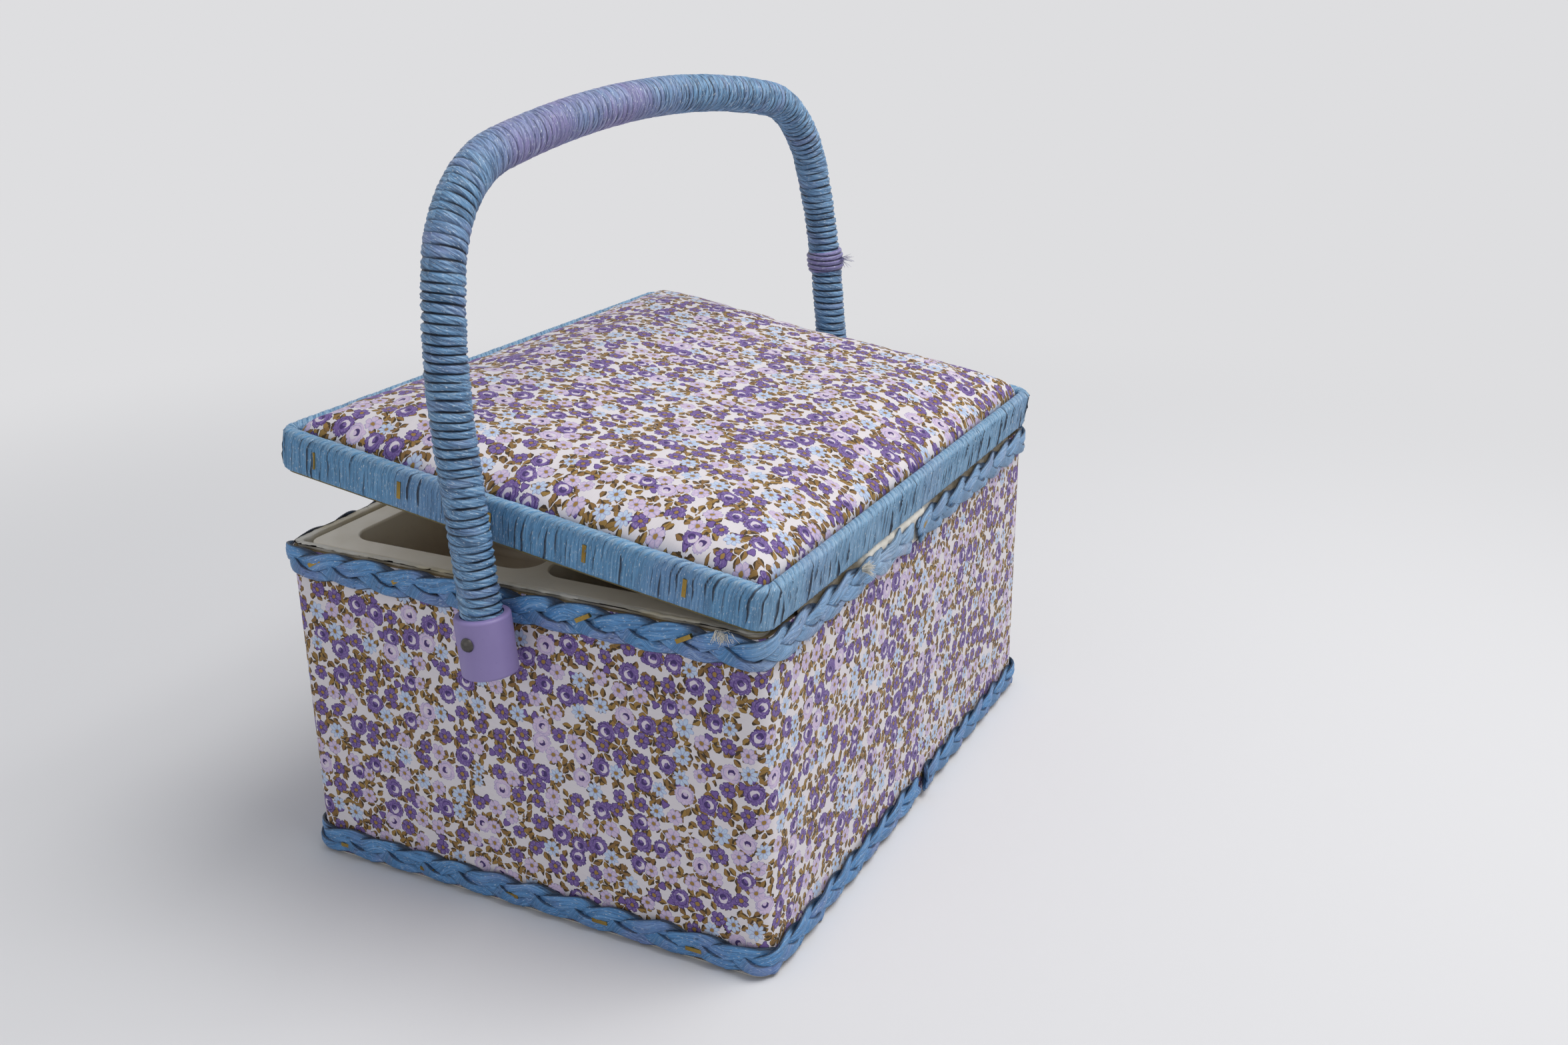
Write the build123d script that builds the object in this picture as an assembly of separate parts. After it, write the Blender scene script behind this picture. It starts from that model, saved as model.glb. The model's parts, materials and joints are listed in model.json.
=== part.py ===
from build123d import *
import os
from math import asin, atan2, copysign, cos, degrees, hypot, radians, sin

# Covered sewing box with a padded lid, a lift-out tray and a swinging wound handle.
#
# Millimetres, +Z up, origin under the middle of the base. X runs along the length and
# through both handle pivots, -Y is the front that opens, +Y is the hinged back.
# The lid stands ajar and the handle leans a little forward, as the box is left in use.

os.makedirs("parts", exist_ok=True)

# ---------------------------------------------------------------- box, driving sizes
box_length = 286.0          # over the printed cloth, along X
box_width = 218.0           # over the printed cloth, along Y
box_height = 141.5          # from the table to the folded edge of the lining
corner_radius = 7.0         # upright corners, over the cloth
least_corner = 0.5          # an inner corner that would vanish keeps this radius
wall_thickness = 3.0        # fibreboard walls
base_thickness = 3.0        # fibreboard base
cloth_thickness = 0.6       # printed cotton
base_cloth_thickness = 0.5  # sheet under the base
lining_thickness = 1.5      # satin over thin wadding
floor_pad_thickness = 3.0
wall_seam_gap = 0.5         # where the ends of the bent wall strip meet, at the back
board_fit = 0.2             # side clearance of the base board in the walls
pad_fit = 0.8               # side clearance of the floor pad in the lining

# ---------------------------------------------------------------- braids and staples
braid_thickness = 2.0
braid_edge_round = 0.8
top_braid_width = 14.0
bottom_braid_width = 13.0
bottom_braid_lift = 0.4     # the lower braid's edge above the table
braid_join_gap = 0.8        # slanting join of a braid's two ends, at the back
braid_join_slant = 35.0     # degrees from upright
braid_join_offset = 6.0     # joins sit this far either side of the middle of the back
staple_crown = 7.0
staple_width = 1.7          # of the flat wire, across the crown
staple_wire = 0.6           # wire thickness
staple_leg = 4.5            # how far the legs reach in
braid_staple_pitch = 48.0   # wanted spacing; each face takes the nearest whole number
staple_end_margin = 26.0    # from the end of a face to its first staple
staple_shift = 7.0          # hand-set rows sit this far off the middle of their face
top_staple_drop = 5.0       # below the top edge
join_staple_offset = 10.0   # the upper join's staple sits this far from the join
top_staple_slant = 28.0     # degrees, rising along the plait's strands
bottom_staple_rise = 5.5    # above the braid's lower edge

# ---------------------------------------------------------------- tray
tray_clearance = 1.0        # to the lining, all round
tray_drop = 0.5             # flange below the lining's fold
tray_flange_width = 12.0
tray_corner = 6.0
tray_edge_round = 1.0       # top edges of the flange and of the pocket mouths
tray_wall = 1.5
tray_lip_depth = 4.0        # turned-down edge that stands on the ledges
pocket_depth = 32.0
pocket_draft = 4.0          # degrees
pocket_corner = 10.0
pocket_floor_round = 4.0
pocket_web = 5.0            # flange left between two pockets
pockets_per_column = (1, 3, 2)
ledge_thickness = 6.0
ledge_height = 18.0
ledge_length = 62.0
ledge_gap = 34.0            # free middle between the two ledges of one end
ledge_edge_round = 1.0

# ---------------------------------------------------------------- lid
lid_set_in = 1.3            # lid side inside the face of the braid
rim_height = 18.0
rim_strip_thickness = 2.2
wrap_thickness = 1.4        # raffia wound over the strip
wrap_edge_round = 2.0
rim_strip_shows = 0.8       # bare lower edge of the strip
lid_gap = 0.4               # between the closed lid and the box
lid_board_thickness = 3.0
lid_recess = 8.0            # from the rim's lower edge up to the lining
lid_lining_thickness = 0.6
lid_hem = 12.0              # cloth turned under the lid board
pad_rise = 12.0             # crown of the padded top above the rim
pad_shoulder = 34.0         # how far in from the rim the crown rounds over
pad_steps = 5
rim_staple_pitch = 40.0
lid_rest_angle = 8.3        # how far the lid stands ajar

# ---------------------------------------------------------------- cloth hinge
hinge_cloth_thickness = 0.4
hinge_cloth_end = 26.0      # the cloth stops this far from each corner
hinge_leaf_box = 12.0
hinge_leaf_lid = 10.0

# ---------------------------------------------------------------- handle
handle_radius = 8.0         # over the winding
handle_core_radius = 6.0
arch_height = 180.0         # pivots to the top of the centre line
arch_top_radius = 640.0
arch_corner_radius = 51.0
arch_leg_radius = 220.0
arch_straight = 75.0        # upright stretch above the pivots, before the legs bow in
pivot_drop = 13.5           # pivots below the folded edge of the lining
handle_lean = 5.0           # degrees towards the front
cup_radius = 10.75
cup_bore_clearance = 0.25
cup_above = 8.5             # cup's mouth above the pivot
cup_below = 15.0            # cup's foot below the pivot
cup_floor = 2.0
cup_edge_round = 1.2
cup_clearance = 1.5         # between the cup and the braid
rivet_shank_radius = 1.6
rivet_running_clearance = 0.06
rivet_head_radius = 2.8
rivet_head_height = 1.9
rivet_head_gap = 0.15       # between the head and the cup
rivet_tail_radius = 2.6
rivet_tail_height = 0.9
washer_radius = 4.5
washer_thickness = 0.8
tie_height = 85.0           # above the pivots, on the left leg
tie_width = 7.0
tie_thickness = 1.2
tie_knot_radius = 3.2
tie_clearance = 0.1

# ---------------------------------------------------------------- worked-out places
floor_top = base_cloth_thickness + base_thickness
pivot_height = box_height - pivot_drop
wall_top = box_height - lining_thickness
wall_inset = cloth_thickness
lining_inset = wall_inset + wall_thickness
inside_inset = lining_inset + lining_thickness
tray_top = box_height - tray_drop
ledge_top = tray_top - tray_lip_depth
braid_length = box_length + 2 * braid_thickness
braid_depth = box_width + 2 * braid_thickness
lid_length = braid_length - 2 * lid_set_in
lid_width = braid_depth - 2 * lid_set_in
lid_corner = corner_radius + braid_thickness - lid_set_in
rim_inset = 2 * wrap_thickness + rim_strip_thickness
hinge_y = lid_width / 2
hinge_z = box_height + lid_gap
lining_z = lid_recess
board_z = lining_z + lid_lining_thickness + cloth_thickness
pad_z = board_z + lid_board_thickness
pivot_x = box_length / 2 + braid_thickness + cup_clearance + cup_radius
wound_end = cup_floor - cup_below      # the winding's end, seated on the cup's floor


def plan(inset, length=box_length, width=box_width, radius=corner_radius):
    """Rounded rectangle of the box's plan, set in on all sides by inset."""
    return RectangleRounded(length - 2 * inset, width - 2 * inset, max(radius - inset, least_corner))


def block(inset, z_low, z_high, **size):
    """Upright prism on a plan."""
    return Pos(0, 0, z_low) * extrude(plan(inset, **size), amount=z_high - z_low)


def ring(inset, thickness, z_low, z_high, **size):
    """Upright wall that follows a plan."""
    return block(inset, z_low, z_high, **size) - block(inset + thickness, z_low - 1, z_high + 1, **size)


def as_node(name, *solids):
    """Write one node: one solid, or a group of separate ones."""
    bodies = [solid for shape in solids for solid in shape.solids()]
    shape = bodies[0] if len(bodies) == 1 else Compound(children=bodies)
    shape.label = name
    export_step(shape, f"parts/{name}.step")


def across_pivots(radius, clearance=0.0):
    """Cylinder along the pivot axis, right through the box, to cut rivet holes."""
    length = 2 * (pivot_x + cup_radius + rivet_head_height)
    return Pos(0, 0, pivot_height) * Rot(0, 90, 0) * Cylinder(radius + clearance, length)


rivet_hole = across_pivots(rivet_shank_radius, rivet_running_clearance)


# ---------------------------------------------------------------- box
def make_base_cloth():
    return block(0, 0, base_cloth_thickness)


def make_base_board():
    return block(lining_inset + board_fit, base_cloth_thickness, floor_top)


def make_wall_board():
    walls = ring(wall_inset, wall_thickness, base_cloth_thickness, wall_top)
    seam = Pos(0, box_width / 2, box_height / 2) * Box(wall_seam_gap, 4 * wall_thickness, 2 * box_height)
    return walls - seam - rivet_hole


def make_body_cover():
    return ring(0, cloth_thickness, base_cloth_thickness, wall_top) - rivet_hole


def make_body_lining():
    skin = ring(lining_inset, lining_thickness, floor_top, wall_top)
    fold = ring(0, inside_inset, wall_top, box_height)
    return skin + fold - rivet_hole


def make_floor_pad():
    return block(inside_inset + pad_fit, floor_top, floor_top + floor_pad_thickness)


def make_tray_ledges():
    """Two strips inside each end wall, clear of the rivet between them."""
    strip = Box(ledge_thickness, ledge_length, ledge_height)
    strip = fillet(strip.edges().filter_by(Axis.Z), ledge_edge_round)
    x = box_length / 2 - inside_inset - ledge_thickness / 2
    y = (ledge_gap + ledge_length) / 2
    z = ledge_top - ledge_height / 2
    return [Pos(side * x, end * y, z) * strip for side in (-1, 1) for end in (-1, 1)]


def braid_band(width, z_low, join_x):
    """Flat band round the box with rounded outer edges and a slanting join at the back."""
    band = ring(-braid_thickness, braid_thickness, z_low, z_low + width)
    levels = band.edges().group_by(Axis.Z)
    outer = (levels[0] + levels[-1]).filter_by(lambda edge: on_outer_face(edge.center()))
    band = fillet(outer, braid_edge_round)
    join = Rot(0, braid_join_slant, 0) * Box(braid_join_gap, 4 * braid_thickness, 4 * width)
    return band - Pos(join_x, box_width / 2 + braid_thickness, z_low + width / 2) * join


def on_outer_face(point):
    """True for points on the braid's outer outline and not on the cloth's."""
    x = abs(point.X) - (box_length / 2 - corner_radius)
    y = abs(point.Y) - (box_width / 2 - corner_radius)
    reach = hypot(max(x, 0), max(y, 0))
    return reach > corner_radius + braid_thickness / 2


def make_hinge_cloth_box():
    length = box_length - 2 * hinge_cloth_end
    y = box_width / 2 + hinge_cloth_thickness / 2
    return Pos(0, y, box_height - hinge_leaf_box / 2) * Box(length, hinge_cloth_thickness, hinge_leaf_box)


def make_top_braid():
    band = braid_band(top_braid_width, box_height - top_braid_width, braid_join_offset)
    return band - make_hinge_cloth_box() - rivet_hole


def make_bottom_braid():
    return braid_band(bottom_braid_width, bottom_braid_lift, -braid_join_offset)


# ---------------------------------------------------------------- staples
def staple():
    """Flat-wire staple: crown along X in front of the face y = 0, legs going in along -Y."""
    depth = staple_leg + staple_wire
    outline = Rectangle(staple_crown, depth)
    outline -= Pos(0, -staple_wire) * Rectangle(staple_crown - 2 * staple_wire, depth)
    return Pos(0, staple_wire - depth / 2, -staple_width / 2) * extrude(outline, amount=staple_width)


def spaced(length, pitch, kept_clear):
    """Places along one straight face; one that falls in the kept-clear middle moves out of it."""
    span = length - 2 * staple_end_margin
    gaps = max(1, round(span / pitch))
    places = [span * (i / gaps - 0.5) + staple_shift for i in range(gaps + 1)]
    return [x if abs(x) > kept_clear else copysign(kept_clear, x) for x in places]


def staples_round(length, width, z, pitch, slant, kept_clear=0.0, back=()):
    """Staples on both ends, whose middle is kept clear, and on the front; the back has only those given."""
    end = spaced(width, pitch, kept_clear)
    rows = (back, end, spaced(length, pitch, 0.0), end)
    placed = []
    for quarter, places in enumerate(rows):
        reach = width if quarter % 2 == 0 else length
        for x in places:
            spot = Rot(0, 0, 90 * quarter) * Pos(x, reach / 2, z) * Rot(0, slant, 0)
            placed.append(spot * staple())
    return placed


def make_top_braid_staples():
    """Staples near the braid's upper edge, none behind a handle cup and one beside the join."""
    z = box_height - top_staple_drop
    beside_cup = cup_radius + staple_crown
    beside_join = braid_join_offset - join_staple_offset
    return staples_round(
        braid_length, braid_depth, z, braid_staple_pitch, top_staple_slant, beside_cup, [beside_join]
    )


def make_bottom_braid_staples():
    z = bottom_braid_lift + bottom_staple_rise
    return staples_round(braid_length, braid_depth, z, braid_staple_pitch, 0)


# ---------------------------------------------------------------- tray
def pocket_places():
    """Centre and size of every pocket: three columns along X, each split across Y."""
    flange = inside_inset + tray_clearance + tray_flange_width
    span_x = box_length - 2 * flange
    span_y = box_width - 2 * flange
    columns = len(pockets_per_column)
    size_x = (span_x - (columns - 1) * pocket_web) / columns
    for column, count in enumerate(pockets_per_column):
        x = -span_x / 2 + size_x / 2 + column * (size_x + pocket_web)
        size_y = (span_y - (count - 1) * pocket_web) / count
        for row in range(count):
            y = -span_y / 2 + size_y / 2 + row * (size_y + pocket_web)
            yield x, y, size_x, size_y


def pocket_body(x, y, size_x, size_y, grow):
    """Drafted pocket form with a rounded floor; grow gives the outside of its walls."""
    mouth = RectangleRounded(size_x + 2 * grow, size_y + 2 * grow, pocket_corner + grow)
    form = extrude(mouth, amount=-(pocket_depth + grow), taper=pocket_draft)
    form = fillet(form.edges().group_by(Axis.Z)[0], pocket_floor_round + grow)
    return Pos(x, y, tray_top) * form


def make_tray():
    edge = inside_inset + tray_clearance
    body = block(edge, tray_top - tray_wall, tray_top, radius=edge + tray_corner)
    body += ring(edge, tray_wall, ledge_top, tray_top, radius=edge + tray_corner)
    for place in pocket_places():
        body += pocket_body(*place, tray_wall)
    for place in pocket_places():
        body -= pocket_body(*place, 0)
    return fillet(body.edges().group_by(Axis.Z)[-1], tray_edge_round)


# ---------------------------------------------------------------- lid, built flat
lid_size = dict(length=lid_length, width=lid_width, radius=lid_corner)
lid_place = Pos(0, hinge_y, hinge_z) * Rot(-lid_rest_angle, 0, 0) * Pos(0, -lid_width / 2, 0)


def make_rim_strip():
    return ring(wrap_thickness, rim_strip_thickness, 0, rim_height - wrap_thickness, **lid_size)


def make_hinge_cloth_lid():
    length = lid_length - 2 * hinge_cloth_end
    y = lid_width / 2 - wrap_thickness + hinge_cloth_thickness / 2
    return Pos(0, y, hinge_leaf_lid / 2) * Box(length, hinge_cloth_thickness, hinge_leaf_lid)


def make_rim_wrap():
    wound = ring(0, rim_inset, rim_strip_shows, rim_height, **lid_size)
    top_edges = wound.edges().group_by(Axis.Z)[-1]
    wound = fillet(top_edges, wrap_edge_round)
    return wound - make_rim_strip() - make_hinge_cloth_lid()


def crowned(inset, z_low, shrink):
    """Padded form: upright to the rim's top, then rounded over by a quarter ellipse."""
    z_rim = rim_height - shrink
    base = block(inset, z_low, z_rim, **lid_size)
    faces = []
    for i in range(pad_steps + 1):
        t = radians(90 * i / pad_steps)
        step_in = inset + (pad_shoulder - shrink) * (1 - cos(t))
        corner = lid_corner - inset + pad_shoulder * (1 - cos(t)) / 2
        outline = RectangleRounded(lid_length - 2 * step_in, lid_width - 2 * step_in, corner)
        faces.append(Pos(0, 0, z_rim + pad_rise * sin(t)) * outline)
    return base + loft(faces, ruled=True)


def make_lid_board():
    return block(rim_inset + cloth_thickness, board_z, pad_z, **lid_size)


def make_lid_pad():
    return crowned(rim_inset + cloth_thickness, pad_z, cloth_thickness)


def make_lid_cover():
    skin = crowned(rim_inset, board_z - cloth_thickness, 0)
    skin -= crowned(rim_inset + cloth_thickness, board_z, cloth_thickness)
    return skin - block(rim_inset + lid_hem, board_z - 2 * cloth_thickness, board_z, **lid_size)


def make_lid_lining():
    return block(rim_inset + cloth_thickness, lining_z, lining_z + lid_lining_thickness, **lid_size)


def make_rim_staples():
    """Upright staples through the winding into the strip."""
    flat = staples_round(lid_length, lid_width, rim_height / 2, rim_staple_pitch, 90)
    return [lid_place * one for one in flat]


# ---------------------------------------------------------------- handle, built upright
handle_place = Pos(0, 0, pivot_height) * Rot(handle_lean, 0, 0)


def corner_centre():
    """Centre of the corner arc: its circle touches the top arc's and the leg arc's from inside."""
    top = Vector(0, arch_height - arch_top_radius)
    leg = Vector(pivot_x - arch_leg_radius, arch_straight)
    from_top = arch_top_radius - arch_corner_radius
    from_leg = arch_leg_radius - arch_corner_radius
    apart = leg - top
    distance = apart.length
    along = (from_top**2 - from_leg**2 + distance**2) / (2 * distance)
    aside = (from_top**2 - along**2) ** 0.5
    direction = apart / distance
    return top + direction * along + Vector(-direction.Y, direction.X) * -aside


def handle_edges():
    """Centre line: straight feet, bowed legs, tight corners and a nearly flat top, all tangent."""
    centre = corner_centre()
    top_angle = degrees(atan2(centre.X, centre.Y - (arch_height - arch_top_radius)))
    leg_angle = degrees(atan2(centre.Y - arch_straight, centre.X - (pivot_x - arch_leg_radius)))
    corner_angle = 90 - top_angle - leg_angle
    turns = (
        (arch_leg_radius, leg_angle),
        (arch_corner_radius, corner_angle),
        (arch_top_radius, 2 * top_angle),
        (arch_corner_radius, corner_angle),
        (arch_leg_radius, leg_angle),
    )
    edges = [Line((pivot_x, wound_end), (pivot_x, arch_straight))]
    for radius, angle in turns:
        edges.append(JernArc(edges[-1] @ 1, edges[-1] % 1, radius, angle))
    edges.append(Line(edges[-1] @ 1, (-pivot_x, wound_end)))
    return edges


def rod(radius, stretch=slice(None)):
    """Round rod along the handle's centre line, or along one stretch of its edges."""
    path = Rot(90, 0, 0) * Wire(handle_edges()[stretch])
    return sweep(Plane(origin=path @ 0, z_dir=path % 0) * Circle(radius), path=path)


def cross_hole():
    """Hole for the rivets through the handle's feet."""
    reach = 2 * (pivot_x + 2 * cup_radius)
    return Rot(0, 90, 0) * Cylinder(rivet_shank_radius + rivet_running_clearance, reach)


def make_handle_core():
    return handle_place * (rod(handle_core_radius) - cross_hole())


def make_handle_wrap(stretch):
    """One strand's winding: a leg with its corner, or the top between the corners."""
    return handle_place * (rod(handle_radius, stretch) - rod(handle_core_radius, stretch) - cross_hole())


def make_handle_cup(side):
    """Cup on one foot: floor below, open mouth round the winding, drilled for the rivet."""
    outside = Pos(0, 0, (cup_above - cup_below) / 2) * Cylinder(cup_radius, cup_above + cup_below)
    outside = fillet(outside.edges().filter_by(GeomType.CIRCLE), cup_edge_round)
    bore_depth = cup_above - wound_end
    bore = Pos(0, 0, wound_end + bore_depth / 2) * Cylinder(handle_radius + cup_bore_clearance, bore_depth)
    return handle_place * (Pos(side * pivot_x, 0, 0) * (outside - bore) - cross_hole())


def make_handle_tie():
    """Band of raffia knotted round the left leg, with one short stub standing off behind."""
    angle = asin((tie_height - arch_straight) / arch_leg_radius)
    x = arch_leg_radius * (1 - cos(angle)) - pivot_x
    bore = Cylinder(handle_radius + tie_clearance, 4 * tie_width)
    band = Cylinder(handle_radius + tie_thickness, tie_width)
    knot = Pos(0, handle_radius + tie_knot_radius / 2, 0) * Sphere(tie_knot_radius)
    leaning = Pos(x, 0, tie_height) * Rot(0, degrees(angle), 0)
    return handle_place * leaning * (band + knot - bore)


# ---------------------------------------------------------------- pivots
def make_rivet(side):
    """Domed rivet: head outside the cup, shank through foot and wall, clinched tail inside."""
    head = pivot_x + cup_radius + rivet_head_gap
    tail = box_length / 2 - inside_inset - washer_thickness
    dome_radius = (rivet_head_radius**2 + rivet_head_height**2) / (2 * rivet_head_height)
    dome = Pos(0, 0, head + rivet_head_height - dome_radius) * Sphere(dome_radius)
    cap = Pos(0, 0, head + rivet_head_height) * Cylinder(2 * dome_radius, 2 * rivet_head_height)
    shank = Pos(0, 0, (head + tail) / 2) * Cylinder(rivet_shank_radius, head - tail)
    clinch = Pos(0, 0, tail - rivet_tail_height / 2) * Cylinder(rivet_tail_radius, rivet_tail_height)
    clinch = fillet(clinch.edges().group_by(Axis.Z)[0], rivet_tail_height / 2)
    return Pos(0, 0, pivot_height) * Rot(0, side * 90, 0) * ((dome & cap) + shank + clinch)


def make_rivet_washer(side):
    disc = Cylinder(washer_radius, washer_thickness) - Cylinder(rivet_shank_radius, 2 * washer_thickness)
    x = box_length / 2 - inside_inset - washer_thickness / 2
    return Pos(side * x, 0, pivot_height) * Rot(0, 90, 0) * disc


# ---------------------------------------------------------------- write the nodes
as_node("base_cloth", make_base_cloth())
as_node("base_board", make_base_board())
as_node("wall_board", make_wall_board())
as_node("body_cover", make_body_cover())
as_node("body_lining", make_body_lining())
as_node("floor_pad", make_floor_pad())
as_node("tray_ledges", *make_tray_ledges())
as_node("tray", make_tray())
as_node("hinge_cloth_box", make_hinge_cloth_box())
as_node("top_braid", make_top_braid())
as_node("bottom_braid", make_bottom_braid())
as_node("top_braid_staples", *make_top_braid_staples())
as_node("bottom_braid_staples", *make_bottom_braid_staples())
as_node("handle_rivets", make_rivet(1), make_rivet(-1))
as_node("rivet_washers", make_rivet_washer(1), make_rivet_washer(-1))

as_node("rim_strip", lid_place * make_rim_strip())
as_node("rim_wrap", lid_place * make_rim_wrap())
as_node("lid_board", lid_place * make_lid_board())
as_node("lid_pad", lid_place * make_lid_pad())
as_node("lid_cover", lid_place * make_lid_cover())
as_node("lid_lining", lid_place * make_lid_lining())
as_node("hinge_cloth_lid", lid_place * make_hinge_cloth_lid())
as_node("rim_staples", *make_rim_staples())

as_node("handle_core", make_handle_core())
as_node("handle_wrap_right", make_handle_wrap(slice(0, 3)))
as_node("handle_wrap_top", make_handle_wrap(slice(3, 4)))
as_node("handle_wrap_left", make_handle_wrap(slice(4, None)))
as_node("handle_cup_right", make_handle_cup(1))
as_node("handle_cup_left", make_handle_cup(-1))
as_node("handle_tie", make_handle_tie())
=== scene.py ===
import json
import math

import bmesh
import bpy
import numpy as np
from bpy.props import FloatProperty, FloatVectorProperty, IntProperty, PointerProperty
from mathutils import Matrix, Vector


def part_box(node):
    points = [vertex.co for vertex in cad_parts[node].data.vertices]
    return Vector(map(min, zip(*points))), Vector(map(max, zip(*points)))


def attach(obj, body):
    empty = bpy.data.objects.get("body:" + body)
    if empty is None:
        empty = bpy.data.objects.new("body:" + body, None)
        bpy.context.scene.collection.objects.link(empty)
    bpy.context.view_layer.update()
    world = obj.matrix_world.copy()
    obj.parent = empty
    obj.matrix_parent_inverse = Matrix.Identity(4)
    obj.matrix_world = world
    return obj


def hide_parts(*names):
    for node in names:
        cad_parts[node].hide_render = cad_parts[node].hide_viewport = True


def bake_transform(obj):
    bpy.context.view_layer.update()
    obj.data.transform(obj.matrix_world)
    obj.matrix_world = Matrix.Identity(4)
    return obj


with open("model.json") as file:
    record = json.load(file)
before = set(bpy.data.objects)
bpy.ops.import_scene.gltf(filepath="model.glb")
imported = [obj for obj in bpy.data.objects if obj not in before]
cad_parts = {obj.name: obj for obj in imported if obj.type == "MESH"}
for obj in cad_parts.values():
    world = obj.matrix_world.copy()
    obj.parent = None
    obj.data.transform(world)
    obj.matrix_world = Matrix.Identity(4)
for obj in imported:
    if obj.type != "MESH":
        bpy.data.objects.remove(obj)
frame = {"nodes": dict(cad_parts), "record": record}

bl_info = {
    "name": "Sewing box, dressed",
    "version": (1, 0, 0),
    "blender": (4, 5, 0),
    "location": "View3D > Sidebar > Sewing box",
    "description": "Printed cloth, raffia plaits and windings, padded lid and stage for a sewing box",
    "category": "Add Mesh",
}

MM = 0.001
SAME_PLACE = 0.02 * MM
FULL_TURN = 2 * math.pi


def srgb(red, green, blue):
    """Linear colour of an sRGB one given from 0 to 255."""
    parts = np.array([red, green, blue]) / 255
    linear = np.where(parts <= 0.04045, parts / 12.92, ((parts + 0.055) / 1.055) ** 2.4)
    return tuple(float(x) for x in linear)


def corners(node):
    """Lowest and highest corner of a CAD node, in millimetres."""
    return [np.array(corner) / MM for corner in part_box(node)]


# the case, the lid and the places they turn about, in millimetres, from the packed frame
JOINTS = {joint["name"]: joint for joint in frame["record"]["behaviour"]["joints"]}
CASE_LOW, CASE_HIGH = corners("body_cover")
CASE_LENGTH, CASE_WIDTH = (CASE_HIGH - CASE_LOW)[:2]
CASE = (CASE_LENGTH, CASE_WIDTH, 7.0)    # with the radius of its upright corners, over the cloth
CLOTH_TOP = CASE_HIGH[2]
FOLD_TOP = corners("body_lining")[1][2]
LID_LENGTH = float(np.ptp([corner[0] for corner in corners("rim_wrap")]))
HINGE_Y, HINGE_Z = (x / MM for x in JOINTS["lid_hinge"]["pos_m"][1:])
LID_WIDTH = 2 * HINGE_Y
LID_RADIUS = 7.7
LID = (LID_LENGTH, LID_WIDTH, LID_RADIUS)    # with the radius of its upright corners, over the winding
LID_ANGLE = -math.radians(JOINTS["lid_hinge"]["range_deg"][0])
PIVOT_Z = JOINTS["handle_swing"]["pos_m"][2] / MM
BRAID_LOW, BRAID_HIGH = corners("top_braid")
FOOT_LOW, FOOT_HIGH = corners("bottom_braid")
RIM_INSET = 5.0    # from the rim's outer face to the padded top
RIM_HEIGHT = 18.0
HANDLE_RADIUS = 8.0
LEAN = math.radians(5.0)    # of the handle, to the front
WHITE = (1.0, 1.0, 1.0)


def length_prop(name, text, default):
    """A length that the user may change, its default given in millimetres."""
    return FloatProperty(name=name, description=text, default=default * MM, unit="LENGTH", min=0, precision=5)


def colour_prop(name, text, default):
    """A colour that the user may change."""
    return FloatVectorProperty(
        name=name, description=text, default=default, subtype="COLOR", size=3, min=0, max=1
    )


# ------------------------------------------------------------------ sizes and colours that a user may change
class SewingBoxPrint(bpy.types.PropertyGroup):
    ground: colour_prop("Ground", "White ground of the printed cotton", srgb(224, 218, 222))
    violet: colour_prop("Violet", "Petals of the roses and small flowers", srgb(116, 90, 156))
    ink: colour_prop("Dark violet", "Outlines of the roses and small flowers", srgb(64, 44, 104))
    lilac: colour_prop("Lilac", "Petals of the pale flowers", srgb(208, 188, 216))
    sky: colour_prop("Pale blue", "Petals of the daisies", srgb(190, 208, 232))
    leaf: colour_prop("Leaf", "Leaves and flower centres", srgb(156, 122, 60))
    flower_pitch: length_prop("Flower pitch", "Mean distance between two flowers", 9.1)
    leaf_pitch: length_prop("Leaf pitch", "Mean distance between two sprigs of leaves", 7.8)


class SewingBoxRaffia(bpy.types.PropertyGroup):
    handle_blue: colour_prop("Handle blue", "Main colour of the handle's winding", srgb(112, 158, 200))
    plait_blue: colour_prop("Plait blue", "Main colour of the plaits", srgb(88, 150, 208))
    rim_blue: colour_prop("Rim blue", "Main colour of the rim's winding", srgb(100, 156, 200))
    # deep is also the colour of the painted shade in creases and between turns
    deep: colour_prop("Deep blue", "Raffia in creases and between turns", srgb(26, 54, 88))
    lilac: colour_prop("Lilac", "Lilac patches of the raffia", srgb(138, 130, 182))
    # pale is also the colour of painted glints, and of painted light on the lit back and along the rim's top
    pale: colour_prop("Pale fibre", "Glossy pale fibres", srgb(188, 214, 232))
    lobe: length_prop("Plait lobe", "Distance between two lobes of the plait", 19.8)
    rim_band: length_prop("Rim band", "Mean width of one turn round the rim", 3.4)
    handle_band: length_prop("Handle band", "Mean width of one turn round the handle", 3.45)


class SewingBoxCushion(bpy.types.PropertyGroup):
    rise: length_prop("Crown", "Height of the padded top above the rim", 12.0)
    shoulder: length_prop("Shoulder", "How far in from the rim the crown rounds over", 34.0)
    frames: IntProperty(name="Frames", description="Steps of the cloth simulation", default=16, min=1)
    pressure: FloatProperty(name="Pressure", description="Pressure of the wadding on the cloth", default=4.0)


GROUPS = {"print": SewingBoxPrint, "raffia": SewingBoxRaffia, "cushion": SewingBoxCushion}


def settings(name):
    """The scene's settings of one kind."""
    return getattr(bpy.context.scene, "sewing_box_" + name)


def mm(length):
    """A setting's metres as millimetres."""
    return length / MM


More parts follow.
